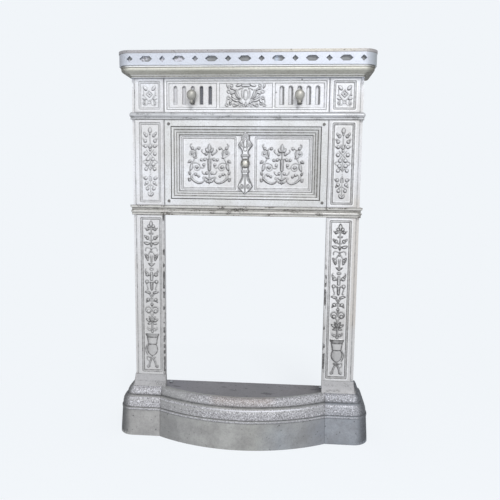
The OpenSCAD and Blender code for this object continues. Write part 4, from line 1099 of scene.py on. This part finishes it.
def square_arabesque():
    """Arabesque of one lintel square: a central candelabrum between scrolling stems with drops. Heights are
    from the square's middle."""
    half = [
        leaf((-0.6, 9.5), (-2.9, 12.0), 1.1, 0.1),
        through([(0, 15.4), (-1.3, 13.6), (-1.9, 11.9)], 0.32, 0.28),
        bead(-2.6, 7.5, 1.15),
        through([(-2.8, 7.3), (-5.0, 8.4), (-6.3, 10.0), (-5.8, 10.8)], 0.5, 0.3),
        through([(-1.2, 3.0), (-1.9, 3.9), (-3.0, 3.9)], 0.36),
        bead(-3.7, 3.1, 1.15),
        through([(-4.4, 2.5), (-5.3, 2.0), (-6.2, 2.2)], 0.3),
        bead(-6.6, 2.8, 1.0),
        bead(-4.5, -1.2, 1.1),
        through([(-3.8, -1.2), (-4.1, -2.9), (-5.8, -3.7), (-7.5, -2.7)], 0.3),
        through([(-14.5, -0.4), (-12.6, 0.3), (-10.2, 0.3), (-8.0, -1.2), (-7.5, -3.6), (-9.2, -5.5),
                 (-11.4, -5.3), (-12.4, -3.6), (-11.7, -2.1)], 0.32, 0.26),
        bead(-10.4, -2.9, 1.2),
        through([(-10.2, -3.8), (-9.0, -3.2)], 0.6, 0.3),
        leaf((-11.3, 10.4), (-10.9, 5.0), 0.55, 0.05),
        leaf((-10.2, 4.3), (-13.5, 5.1), 0.5),
        through([(-12.0, 3.9), (-13.3, 1.5), (-14.5, -0.5)], 0.38, 0.34),
        ring((-14.2, 8.0), 2.05, 0.24),
        bead(-14.2, 8.0, 1.0),
        leaf((-14.6, -0.5), (-15.9, -6.0), 1.15, 0.08),
        through([(-15.8, -5.6), (-15.9, -8.3), (-14.9, -11.2)], 0.3),
        bead(-16.0, -8.3, 0.95),
        leaf((-16.0, -8.0), (-17.1, -6.8), 0.45),
        through([(-14.7, -11.9), (-11.9, -14.5), (-8.4, -15.9), (-5.6, -15.3), (-3.8, -13.6)], 0.8, 0.36),
        through([(-13.9, -11.6), (-13.6, -9.4), (-12.3, -8.2)], 0.3),
        bead(-11.2, -8.9, 1.1),
        through([(-10.6, -9.4), (-9.4, -10.2)], 0.4),
        bead(-8.7, -10.4, 0.9),
        bead(-16.3, -13.5, 1.1),
        leaf((-16.4, -13.1), (-17.4, -11.9), 0.5),
        bead(-15.9, 1.5, 1.15),
        leaf((-15.9, 1.4), (-17.6, 0.5), 0.6),
        bead(-14.0, 12.0, 1.15),
        through([(-14.4, 12.4), (-15.4, 13.5), (-15.4, 14.6), (-14.7, 15.3)], 0.5, 0.32),
        through([(-13.2, 11.4), (-11.9, 10.8), (-10.6, 11.6), (-9.4, 12.4)], 0.4),
        bead(-8.6, 12.0, 1.1),
        bead(-2.1, -7.9, 1.15),
        through([(-2.4, -8.3), (-4.0, -8.7), (-5.4, -7.9), (-6.0, -6.5)], 0.45, 0.26),
        through([(0, -12.7), (-1.6, -12.1), (-2.9, -11.3)], 0.75, 0.4),
        ring((-4.6, -11.6), 0.8, 0.28),
        leaf((0.2, -14.7), (-3.0, -14.7), 0.75),
    ]
    centre = [
        leaf((0, 8.8), (0, 15.6), 1.2),
        through([(0, 3.4), (0, 6.0), (0, 9.3)], 0.45),
        through([(0, -12.0), (0, -9.0), (0, -6.0)], 0.4),
        leaf((0, -13.4), (0, -16.4), 0.9),
    ]
    baluster = [(-6.2, 0.5), (-5.2, 1.2), (-1.0, 1.35), (2.6, 1.4), (3.5, 0.9)]
    return mirrored(half) + centre, baluster


def lintel_panel_skin():
    """Front of the lintel panel: two sunk squares, each with its arabesque, and dirt with a painted shadow
    round the strap.
    """
    half_field = lintel_high[0] - SIGHT_EDGE - SHY
    low, high = lintel_low[2] + SIGHT_EDGE + SHY, lintel_high[2] - SIGHT_EDGE - SHY
    out = half_field - SQUARE_SIDE + SHY
    middle, half_w = (out + STILE_HALF) / 2, (out - STILE_HALF) / 2
    half_h = (high - low) / 2 - SQUARE_SIDE + SHY
    step = 0.27
    breaks = panel_breaks(middle, half_w)
    xs = lines_between(np.concatenate([breaks, -breaks, [-half_field, half_field]]), step)
    zs = lines_between(np.append(panel_breaks(LINTEL_MID, half_h), [low, high]), step)
    x, z = np.meshgrid(xs, zs)
    depth, dirt, rubbed, _ = sunk_panel(np.abs(x) - middle, z - LINTEL_MID, half_w, half_h)
    carving = Carving(xs, zs, film=0.3)
    strokes, baluster = square_arabesque()
    for side, _ in SIDES:
        carving.lay(moved(strokes, side * SQUARE_AXIS, LINTEL_MID, side), height=0.75)
        carving.turn(side * SQUARE_AXIS, raised(baluster, LINTEL_MID), height=0.8, film=0.55)
    rim = 0.8 * bell(np.minimum(half_field - np.abs(x), np.minimum(z - low, high - z)), 0.4)
    # Dirt and a painted shadow on the panel along the strap's outline
    heights, half = np.array(STRAP_OUTLINE).T
    from_strap = np.abs(x) - np.interp(z - LINTEL_MID, heights, half, left=-9, right=-9)
    rim = np.maximum(rim, 0.85 * bell(from_strap - 0.15, 0.5))
    dirt_and_shade = np.maximum.reduce([0.8 * dirt, carving.dirt_and_shade(), rim]) * blotches(x, z, 3)
    bare_and_highlight = np.maximum(0.7 * rubbed, carving.bare_and_highlight())
    face = panel_y - PROUD + depth - carving.rise
    return front_piece("lintel_panel_carving", xs, zs, face, dirt_and_shade, bare_and_highlight, back=panel_y + 1.7)


lintel_frame_skin()
lintel_panel_skin()


def turned(name, profile, axis, finish, body=ROOT, stands_for=(), dirt_and_shade=None, sides=56, extra=None):
    """Closed turned piece: a profile of [distance from the axis, place along it], from end to end of the
    axis, swept round it. axis(radius, along, angle) gives the points. extra is another closed grid to join to
    it."""
    radius, along = np.array(profile, float).T
    angle = np.linspace(0, 2 * np.pi, sides + 1)
    points = axis(radius[:, None], along[:, None], angle[None, :]).reshape(-1, 3)
    quads = grid_quads(len(radius), sides + 1)
    dirt = np.repeat(np.zeros(len(radius)) if dirt_and_shade is None else dirt_and_shade, sides + 1)
    if extra is not None:
        more, more_quads = extra
        quads = np.vstack([quads, more_quads + len(points)])
        points = np.vstack([points, more])
        dirt = np.append(dirt, np.full(len(more), 0.2))
    return add_piece(name, points, quads, [], finish, dirt, None, body, stands_for)


def upright(x, y):
    """Points about a vertical axis through (x, y)."""
    def axis(radius, along, angle):
        across, deep = x + radius * np.cos(angle), y + radius * np.sin(angle)
        return np.stack(np.broadcast_arrays(across, deep, along), -1)
    return axis


def lying(x, z):
    """Points about an axis along Y through (x, z)."""
    def axis(radius, along, angle):
        across, tall = x + radius * np.cos(angle), z + radius * np.sin(angle)
        return np.stack(np.broadcast_arrays(across, along, tall), -1)
    return axis


def shank(x, z, radius, y_front, y_back, sides=24):
    """Closed round bar along Y: its points and quads."""
    profile = np.array([(0, y_front), (radius, y_front), (radius, y_back), (0, y_back)])
    angle = np.linspace(0, 2 * np.pi, sides + 1)
    points = lying(x, z)(profile[:, :1], profile[:, 1:], angle[None, :]).reshape(-1, 3)
    return points, grid_quads(len(profile), sides + 1)


def strap_piece():
    """Centre strap: at each height its half-width comes from a drawn outline, and its face is a flat crown
    that falls at the edges, with ribs and volutes laid on. The grid is stretched to the outline."""
    heights, half = np.array(STRAP_OUTLINE).T
    upper_collar, lower_collar, boss_edge = 6.0, -6.2, 3.5
    zs = np.linspace(heights[0], heights[-1], 230)
    across = np.linspace(-1, 1, 61)
    wide = running_mean(np.interp(zs, heights, half)[:, None], 1)[:, 0]
    x = wide[:, None] * across
    z = np.repeat(zs[:, None], len(across), axis=1)
    lobes = mirrored([
        ring((-3.5, 14.6), 1.25, 0.42),
        bead(-3.5, 14.6, 0.6),
        through([(-1.5, 12.4), (-2.0, 15.5), (-1.7, 18.4)], 0.4),
        through([(-1.2, 19.6), (-1.7, 21.2), (-0.8, 22.6), (0, 23.2)], 0.4),
        curl((-2.9, -18.6), 1.8, 90, -1.25, 0.42),
        through([(-1.3, -9.0), (-2.2, -12.6), (-3.6, -15.4)], 0.36),
    ]) + [
        leaf((0, 12.8), (0, 19.2), 1.1),
        bead(0, 11.0, 1.4),
        bead(0, 21.0, 0.6),
        through([(-2.6, upper_collar), (0, upper_collar), (2.6, upper_collar)], 0.85),
        through([(-2.1, lower_collar), (0, lower_collar), (2.1, lower_collar)], 0.8),
        through([(0, -9.0), (0, -16.0), (0, -23.4)], 0.6, 0.45),
    ]
    balls = np.vstack([stroke for stroke, _ in lobes])
    widths = np.concatenate([width for _, width in lobes])
    far = np.hypot(x[..., None] - balls[:, 0], z[..., None] - balls[:, 1])
    rise = (round_back(far / widths) * widths).max(axis=2)
    edge = wide[:, None] * (1 - np.abs(across))
    crown = 0.5 * smooth(edge / 0.7)
    front = strap_y + 0.35 - crown - 0.6 * np.minimum(rise, 0.9)
    lobe_dirt = outlined((far - widths).min(axis=2), 0.85, film=0.06, line=0.28)
    collars = smooth(1.4 - np.abs(z - upper_collar) / 0.8)
    collars = collars + 0.7 * smooth(1.4 - np.abs(z - lower_collar) / 0.8)
    round_boss = 0.8 * smooth(1.5 - np.abs(np.hypot(x, z) - boss_edge) / 0.6)
    dirt_and_shade = np.maximum.reduce([0.9 * bell(edge, 0.42), lobe_dirt, 0.55 * collars, round_boss])
    rows, cols = x.shape
    behind = np.full_like(x, strap_y + 2.9)
    over = np.concatenate([x, x[:, ::-1], x[:, :1]], axis=1)
    deep = np.concatenate([front, behind, front[:, :1]], axis=1)
    tall = np.concatenate([z, z, z[:, :1]], axis=1)
    dirt = np.concatenate([dirt_and_shade, 0 * dirt_and_shade, dirt_and_shade[:, :1]], axis=1)
    bare = 0.4 * (1 - np.minimum(dirt, 1))
    points = np.stack([over, deep, tall + LINTEL_MID], axis=-1).reshape(-1, 3)
    wide_row = 2 * cols + 1
    caps = [np.arange(wide_row - 1), (rows - 1) * wide_row + np.arange(wide_row - 1)[::-1]]
    return add_piece("strap_casting", points, grid_quads(rows, wide_row), caps, silver,
                     dirt.ravel(), bare.ravel(), stands_for=("centre_strap",))


strap_piece()

boss_r = (boss_high[0] - boss_low[0]) / 2
boss_y = boss_low[1]
boss_foot = boss_y + 1.9
boss_profile = [
    (0, boss_y),
    *((2.1 * math.sin(a), boss_y + 0.9 * (1 - math.cos(a))) for a in np.linspace(0.1, 1.35, 12)),
    (2.2, boss_y + 1.5), (2.4, boss_y + 1.5),
    *((3.0 - 0.5 * math.cos(a), boss_y + 1.15 - 0.45 * math.sin(a)) for a in np.linspace(0, math.pi, 10)),
    (boss_r + 0.4, boss_y + 1.3), (boss_r + 0.4, boss_foot), (1.2, boss_foot),
    (1.2, boss_high[1]), (0, boss_high[1]),
]
boss_dirt = np.array([0.85 * smooth((r - 1.8) / 0.4) if y < boss_foot else 0.3 for r, y in boss_profile])
turned("strap_button", boss_profile, lying(0, LINTEL_MID), bright_button,
       stands_for=("strap_boss",), dirt_and_shade=boss_dirt)


# Frieze: registers of slots, carved centre field, and the pulls

def frieze_scrolls():
    """Dense scrollwork of feathered leaves and rings round an oval cartouche. Heights are from the frieze's
    middle."""
    half = [
        ring((-11.2, 7.9), 1.05, 0.4),
        leaf((-3.4, 8.8), (-7.9, 7.3), 1.0, 0.05),
        leaf((-14.9, 9.0), (-13.8, 5.2), 0.7),
        leaf((-12.4, 6.2), (-10.4, 4.4), 0.55),
        ring((-13.4, 3.2), 1.15, 0.45),
        ring((-13.6, -1.7), 1.05, 0.45),
        leaf((-11.6, 5.6), (-7.9, 3.4), 0.7, 0.1),
        leaf((-12.0, 1.2), (-8.0, 2.2), 0.8, 0.1),
        leaf((-7.2, 4.6), (-3.5, -3.0), 0.85, -0.12),
        leaf((-8.4, 2.9), (-4.5, -3.0), 0.75, -0.1),
        leaf((-11.3, 0.0), (-5.4, -3.2), 0.7, -0.08),
        leaf((-11.4, -1.9), (-4.4, -4.5), 0.85, -0.1),
        leaf((-5.8, -4.2), (-2.6, -6.6), 0.8, 0.1),
        leaf((-12.9, -5.6), (-11.0, -3.4), 0.75),
        ring((-14.8, -7.2), 1.0, 0.42),
        leaf((-12.6, -7.2), (-11.2, -5.8), 0.6),
        ring((-8.9, -7.3), 1.1, 0.45),
        leaf((-7.6, -8.0), (-5.4, -6.2), 0.6),
        ring((-4.4, -7.6), 0.8, 0.36),
        ring((-1.8, -7.4), 0.75, 0.36),
        through([(-5.4, 4.6), (-4.0, 5.5), (-2.4, 5.4)], 0.45),
        through([(-3.0, 3.8), (-3.4, 1.0), (-2.6, -1.8)], 0.4, 0.3),
        through([(-14.9, -3.2), (-15.3, -4.8), (-14.6, -6.0)], 0.36),
    ]
    centre = [
        ring((0, 0.6), 1.7, 0.45, 2.2),
        through([(-2.5, 7.4), (0, 7.4), (2.5, 7.4)], 0.9),
        leaf((0, -8.6), (0, -5.0), 0.7),
    ]
    return mirrored(half) + centre


def frieze_skin():
    """Front of the frieze plate: frame line, three sunk fields, slots cut through, the centre carving, and
    two small holes that are only dents with dirt in them."""
    y = frieze_low[1]
    half, low, high = frieze_high[0] - SHY, frieze_low[2] + SHY, frieze_high[2] - SHY
    middles = np.concatenate([-SLOTS_X[::-1], SLOTS_X])
    radius = SLOT_W / 2 + SHY
    arch_z = SLOT_HIGH - SLOT_W / 2
    soft = 0.12
    line_out, line_in = 2.0, 2.5
    edges = np.array([CENTRE_HALF, REGISTER_IN, REGISTER_OUT, half - line_out, half - line_in])
    edges = np.concatenate([edges, -edges])
    slots = (middles[:, None] + np.linspace(-radius - 0.45, radius + 0.45, 17)).ravel()
    carved = lines_between([-16.0, 16.0], 0.24)
    xs = lines_between(np.concatenate([edges - soft, edges + soft, slots, carved, [-half, half]]), 0.7)
    levels = np.array([low + line_out, low + line_in, FIELD_LOW, FIELD_HIGH, high - line_out, high - line_in])
    arch = arch_z + np.linspace(0, radius, 7)
    ends = [low, high, SLOT_LOW - SHY]
    zs = lines_between(np.concatenate([levels - soft, levels + soft, ends, arch]), 0.24)
    x, z = np.meshgrid(xs, zs)

    def inside(x_low, x_high):
        """Distance inside a field between two values of x."""
        return np.minimum(np.minimum(x - x_low, x_high - x), np.minimum(z - FIELD_LOW, FIELD_HIGH - z))

    def outside_slots(x, z):
        """Distance from the sides and the arch of the nearest slot, below 0 between its sides."""
        off = np.abs(x[..., None] - middles).min(axis=2)
        return np.hypot(off, np.maximum(z - arch_z, 0)) - radius

    fields = np.maximum.reduce([inside(-CENTRE_HALF, CENTRE_HALF), inside(REGISTER_IN, REGISTER_OUT),
                                inside(-REGISTER_OUT, -REGISTER_IN)])
    rim = np.minimum(half - np.abs(x), np.minimum(z - low, high - z))
    line = step_up(rim - line_out, soft) - step_up(rim - line_in, soft)
    depth = 0.5 * (step_up(fields, soft) + line)
    dirt = 0.6 * bell(fields - 0.1, 0.32) + 0.5 * bell(rim, 0.3)
    dirt = dirt + 0.55 * bell(rim - (line_out + line_in) / 2, 0.36)
    carving = Carving(xs, zs, film=0.22)
    carving.lay(moved(frieze_scrolls(), 0, FRIEZE_MID), height=0.7)
    oval = np.hypot(x / 1.4, (z - FRIEZE_MID - 0.6) / 3.6)
    carving.rise = np.maximum(carving.rise, 0.5 * round_back(oval))
    from_slot = np.maximum(outside_slots(x, z), SLOT_LOW - z)
    # Dark lines round the slots, heavier on the right register, as dirt and painted shade, and painted shade
    # on the right-hand wall of each slot of the right register
    on_right = x > 0
    dirt = dirt + (0.75 + 0.3 * on_right) * bell(from_slot, 0.22 + 0.12 * on_right)
    right_wall_shade = on_right * bell(np.abs(x[..., None] - middles - radius).min(axis=2), 0.5)
    dirt = dirt + right_wall_shade * smooth((z - SLOT_LOW) / 0.3) * smooth((arch_z + 0.8 - z) / 0.4)
    holes = np.array([(REGISTER_IN + 0.9, FRIEZE_MID + 2.2), (REGISTER_X + 1.6, high - 1.2)])
    for hole_x, hole_z in holes:
        spot = np.hypot(x - hole_x, z - hole_z)
        dirt = dirt + 1.3 * bell(spot, 0.55)
        depth = depth + 0.08 * bell(spot, 0.4)
    dirt_and_shade = np.maximum(dirt, 0.9 * carving.dirt_and_shade()) * blotches(x, z, 9)
    bare_and_highlight = np.maximum(0.6 * bell(rim - 1.3, 0.5) + 0.6 * bell(fields + 0.7, 0.4), carving.bare_and_highlight())
    cell_x = (x[1:, 1:] + x[1:, :-1]) / 2
    cell_z = (z[1:, 1:] + z[:-1, 1:]) / 2
    open_cell = (outside_slots(cell_x, cell_z) < 0) & (cell_z > SLOT_LOW - SHY)
    face = y - PROUD + depth - carving.rise
    return front_piece("frieze_carving", xs, zs, face, dirt_and_shade, bare_and_highlight, back=y + 1.2, keep=~open_cell)


frieze_skin()


def register_pull(side, word):
    """Pear-shaped pull: a ball, drawn out a little below its middle, on a short foot, turned on an upright
    axis, with the shank that carries it through the slot."""
    ball_r, drawn_out = 3.85, 1.16
    x = side * REGISTER_X
    y = pull_low[1] + ball_r
    foot, tip = pull_low[2], pull_high[2]
    ball = tip - 4.35
    around = np.radians(np.linspace(-66, 82, 28))
    profile = [(0, foot), (1.4, foot), (1.6, foot + 0.25), (1.6, foot + 1.1), (1.35, foot + 1.6)]
    drop = [ball_r * math.sin(a) * (drawn_out if a < 0 else 1) for a in around]
    profile += [(ball_r * math.cos(a), ball + height) for a, height in zip(around, drop)]
    profile += [(0.45, tip - 0.4), (0.3, tip - 0.1), (0, tip)]
    dirt = np.array([0.55 * smooth((foot + 2.2 - z) / 1.2) for _, z in profile])
    turned(f"{word}_pull_turning", profile, upright(x, y), pewter, f"{word}_register",
           (f"{word}_pull",), dirt, extra=shank(x, foot + 1.4, 1.0, y, pull_high[1]))


for side, word in SIDES:
    register_pull(side, word)


# Mouldings: rails, cornice, plinths and fender

def rail_outline(z, h, lower):
    """Face of a rail from its underside up: fillets and a round."""
    if lower:
        round_part = curve_to((1.1, z + 0.26 * h), (2.0, z + 0.36 * h), (1.1, z + 0.48 * h))
        return [(0.8, z + SHY), (0.8, z + 0.24 * h), *round_part, (0.7, z + 0.5 * h), (0.7, z + 0.7 * h),
                (2, z + 0.78 * h), (2, z + h - SHY)]
    round_part = curve_to((0.6, z + 0.3 * h), (2.8, z + 0.62 * h), (0.6, z + 0.96 * h))
    return [(0.8, z + SHY), (0.8, z + 0.28 * h), *round_part, (0.6, z + h - SHY)]


lower_z, mid_z = jamb_high[2], block_high[2]
rail_way = carried(round_front(SIDE_X))
moulding("lower_rail_moulding", rail_outline(lower_z, block_low[2] - lower_z, True), rail_way, rail_warm,
         chips=1.0, rims=1.0, seed=11)
mid_h = frieze_low[2] - mid_z
moulding("mid_rail_moulding", rail_outline(mid_z, mid_h, False), rail_way, rail_silver, chips=0.6, rims=0.8,
         lines=[(mid_z + 0.29 * mid_h, 0.32, 1.0)], seed=21)

cornice_z = cornice_low[2]
BAND_OUT = cornice_high[0] - ARRIS_X
BAND_T = 2.2
SOFFIT_OUT = 2.5
fillet_out = BAND_OUT - 1.1
band_z = shelf_z - 9.2
quirk_z = band_z - 1.2
hollow_z = cornice_z + 1.2
waist_out = (SOFFIT_OUT + fillet_out) / 2
waist_z = hollow_z + 0.36 * (quirk_z - hollow_z)
cornice_outline = [
    (SOFFIT_OUT, cornice_z + SHY), (SOFFIT_OUT, hollow_z),
    *curve_to((SOFFIT_OUT + 0.7, hollow_z), (SOFFIT_OUT + 1, waist_z - 0.3), (waist_out, waist_z)),
    *curve_to((waist_out + 0.2, waist_z + 0.02), (fillet_out, waist_z + 0.4),
              (fillet_out - 0.4, quirk_z - 0.5)),
    (fillet_out - 0.9, quirk_z - 0.2), (fillet_out, quirk_z), (fillet_out, band_z - SHY),
]


def bright_fillet_and_painted_light(line, x):
    """Bare metal on the fillet under the band, and painted light on the cornice's lower half, which faces
    down under the overhang.
    """
    low = 0.8 * smooth((waist_z - 0.3 - line[:, 1:]) / 1.2)
    return smooth((line[:, 1:] - quirk_z + 0.1) / 0.2) + low + 0 * x


cornice_lines = [(quirk_z - 0.35, 0.34, 0.85), (band_z, 0.2, 0.8), (waist_z + 0.5, 0.8, 0.3),
                 (cornice_z + 1.3, 0.2, 0.4), (cornice_z, 0.2, 0.6)]
band_way = carried(round_front(ARRIS_X))
moulding("cornice_moulding", cornice_outline, band_way, tarnished, back=1.0,
         shine=bright_fillet_and_painted_light, chips=0.1, lines=cornice_lines, painted_side_shade=0.8, seed=31)


def painted_light_through_piercings(tree, where):
    """Painted light behind the piercings at the left end: pale silver patches on the lining."""
    patches = spread(tree, noise(tree, where, 420, 2), 0.45, 0.55)
    at_left = spread(tree, axes_of(tree, where)["X"], -0.025, -0.05)
    return times(tree, at_left, patches), (0.62, 0.62, 0.68)


# Painted shade on the lower half of the lining, and painted light behind the piercings at the left end and
# near x = 24 mm
lining_shade_and_light = [stain_and_painted_light((0.17, 0.175, 0.18), 0.9, z_range=(-FAR, band_z + 4.2), fade=1.6), painted_light_through_piercings,
                 stain_and_painted_light((0.50, 0.56, 0.66), 0.9, (22.5, 26), fade=1.2)]
lining_finish = cast_finish("band_lining", (0.33, 0.335, 0.34), (0.28, 0.285, 0.29), (0.08, 0.08, 0.08),
                            (0.20, 0.20, 0.20), metal=0.2, rough=0.6, pitting=0.35, stains_and_light=lining_shade_and_light)
lining_out = BAND_OUT - BAND_T - PROUD
lining_outline = [(lining_out, band_z + 1.2), (lining_out, shelf_z - 0.8)]
moulding("band_lining", lining_outline, band_way, lining_finish, back=lining_out - 0.6)


def foot_outline():
    """Face of the foot moulding: battered foot block, fillet and two bellied bands."""
    top = FOOT_TOP_OUT
    start = 0.3
    above_groove = LOW_BAND_OUT - 0.8
    return [
        (FOOT_OUT - FOOT_BATTER * start / FOOT_H, start), (top, FOOT_H),
        (top + 0.4, FOOT_H), (top + 0.4, FILLET_Z),
        *curve_to((top - 0.6, FILLET_Z), (top - 0.6, GROOVE_Z - 1), (LOW_BAND_OUT, GROOVE_Z)),
        *curve_to((above_groove, GROOVE_Z), (above_groove, LIP_Z - 1), (HIGH_BAND_OUT, LIP_Z)),
    ]


def band_stipple(line, x):
    """Height of the stipple: full on the two bands, less on the round of the lower one, none on the fillet
    and in the grooves. It is worn off the fender's ends."""
    z = line[:, 1]
    low = smooth((GROOVE_Z - 3.2 - z) / 1.2) + 0.5 * smooth((GROOVE_Z - 0.5 - z) / 0.6)
    low = low * smooth((z - FILLET_Z - 0.3) / 0.8)
    high = smooth((z - GROOVE_Z - 0.3) / 0.6) * smooth((LIP_Z + 0.2 - z) / 0.4)
    left = np.maximum(smooth((x + 52) / 38), smooth((-x - PLINTH_X + 0.5) / 0.5))
    right = np.maximum(smooth((70 - x) / 22), smooth((x - PLINTH_X + 0.5) / 0.5))
    kept = (0.35 + 0.65 * left) * (0.5 + 0.5 * right)
    return 0.24 * np.clip(low + high, 0, 1)[:, None] * kept


def rubbed_and_highlight_strips(line, x):
    """Rubbed metal with a painted highlight on the round of the lower band, most right of the middle, at its
    foot, and along the fillet."""
    z = line[:, 1:]
    middle = smooth((x + 38) / 30) * smooth((64 - x) / 20)
    strip = (0.65 + 0.35 * middle) * bell(z - GROOVE_Z + 1.6, 0.7)
    foot = (0.3 + 0.3 * middle) * bell(z - FILLET_Z - 1.7, 0.8)
    return strip + foot + 0.75 * bell(z - FOOT_H - 0.7, 0.5)


# Painted shade on the upper band's lower edge, above the groove between the bands
groove_shade = (GROOVE_Z + 0.55, 0.75, 0.6)
die_outline = curve_to((2.6, LIP_Z), (0.6, LIP_Z + 2.5), (0, plinth_high[2] - SHY))
for word, flip, iron, seed in (("right", 1, right_iron, 41), ("left", -1, left_iron, 47)):
    foot_path = tuple(part * [flip, 1] for part in round_corner(SIDE_X, PLINTH_X - 0.08, step=0.4))
    die_path = tuple(part * [flip, 1] for part in round_corner(SIDE_X, OPEN_X + SHY, step=0.4))
    moulding(f"{word}_plinth_moulding", foot_outline(), carried(foot_path), iron,
             stipple=band_stipple, shine=rubbed_and_highlight_strips, chips=0.06, lines=[groove_shade], painted_side_shade=0.85, seed=seed)
    moulding(f"{word}_die_moulding", die_outline, carried(die_path), die_silver, chips=0.4, painted_side_shade=0.6,
             seed=seed + 3)

bow_r = (PLINTH_X ** 2 + BOW_RISE ** 2) / (2 * BOW_RISE)
bow_y = bow_r - FOOT_OUT - BOW_RISE
bow_way = bowed(PLINTH_X - 0.12, bow_r - FOOT_OUT, bow_y, count=420)
moulding("fender_moulding", foot_outline(), bow_way, fender_iron, back=2.0, stipple=band_stipple,
         shine=rubbed_and_highlight_strips, chips=0.06, lines=[groove_shade], seed=53)


# Stage: camera, floor, backdrop and light

BACKDROP = (0.880, 0.913, 0.947)


def place_camera():
    """Camera of the photograph: from its place, turned left, tipped down and rolled a little."""
    lens_px, image_px, sensor_mm = 526.18, 500, 36
    place = (0.03715, -0.42488, 0.21059)
    yaw, pitch, roll = 0.07606, -0.12400, 0.01146
    camera = new_object("camera", bpy.data.cameras.new("camera"))
    camera.data.sensor_width = sensor_mm
    camera.data.lens = sensor_mm * lens_px / image_px
    camera.data.clip_start = 0.01
    turn = Matrix.Rotation(yaw, 4, "Z") @ Matrix.Rotation(math.pi / 2 + pitch, 4, "X")
    turn = turn @ Matrix.Rotation(roll, 4, "Z")
    camera.matrix_world = Matrix.Translation(place) @ turn
    bpy.context.scene.camera = camera


def seen_directly(tree):
    """1 for rays from the camera and for mirrored or refracted rays, 0 for the light that falls on things."""
    rays = add_node(tree, "ShaderNodeLightPath").outputs
    mirrored_too = maths(tree, "MAXIMUM", rays["Is Camera Ray"], rays["Is Glossy Ray"])
    return maths(tree, "MAXIMUM", mirrored_too, rays["Is Transmission Ray"])


def show_mix(tree, share, first, second, output):
    """Sends two shaders to the output node, mixed with that share of the second."""
    mixed = add_node(tree, "ShaderNodeMixShader", {0: share, 1: first.outputs[0], 2: second.outputs[0]})
    add_node(tree, output, {"Surface": mixed.outputs[0]})


def light_world(strength):
    """Even pale light all round, which shows as the backdrop's colour where it is seen directly."""
    world = bpy.data.worlds.new("studio")
    bpy.context.scene.world = world
    tree = empty_tree(world)
    light = add_node(tree, "ShaderNodeBackground", {"Color": (0.96, 0.98, 1.0, 1.0), "Strength": strength})
    shown = add_node(tree, "ShaderNodeBackground", {"Color": (*BACKDROP, 1.0), "Strength": 1.0})
    show_mix(tree, seen_directly(tree), light, shown, "ShaderNodeOutputWorld")


def lay_floor():
    """Pale floor that takes the shadow near the object and runs out into the backdrop's colour. Where it
    takes the shadow it shines a little more, so that out of the shadow it is as bright as the backdrop."""
    reach, near, away = 3.0, 0.12, 0.28
    corners = [(-reach, -reach, 0), (reach, -reach, 0), (reach, reach, 0), (-reach, reach, 0)]
    mesh = bpy.data.meshes.new("floor")
    mesh.from_pydata(corners, [], [(0, 1, 2, 3)])
    floor = new_object("floor", mesh)
    floor.location.z = -0.0002
    finish = bpy.data.materials.new("pale_floor")
    tree = empty_tree(finish)
    where = add_node(tree, "ShaderNodeTexCoord").outputs["Object"]
    far = add_node(tree, "ShaderNodeVectorMath", {0: where}, operation="LENGTH").outputs["Value"]
    matt = add_node(tree, "ShaderNodeBsdfDiffuse", {"Color": (0.86, 0.88, 0.90, 1.0)})
    made_up = spread(tree, far, near, away, 1.09, 1.0)
    bright = add_node(tree, "ShaderNodeEmission", {"Color": (*BACKDROP, 1.0), "Strength": made_up})
    share = times(tree, spread(tree, far, near, away, 0.8, 1.0), seen_directly(tree))
    show_mix(tree, share, matt, bright, "ShaderNodeOutputMaterial")
    mesh.materials.append(finish)


def hang_lamp(name, place, aim, size, watts):
    """Square soft lamp at a place, turned towards an aim."""
    lamp = bpy.data.lights.new(name, "AREA")
    lamp.size = size
    lamp.energy = watts
    made = new_object(name, lamp)
    made.rotation_euler = (Vector(aim) - Vector(place)).to_track_quat("-Z", "Y").to_euler()
    made.location = place


place_camera()
light_world(strength=0.33)
lay_floor()
front_middle = (0.0, 0.0, 0.16)
hang_lamp("key_lamp", (0.35, -1.25, 1.15), front_middle, size=0.45, watts=14.8)
hang_lamp("fill_lamp", (-0.4, -1.4, 0.12), front_middle, size=1.0, watts=5.5)

bpy.context.scene.view_settings.view_transform = "Standard"
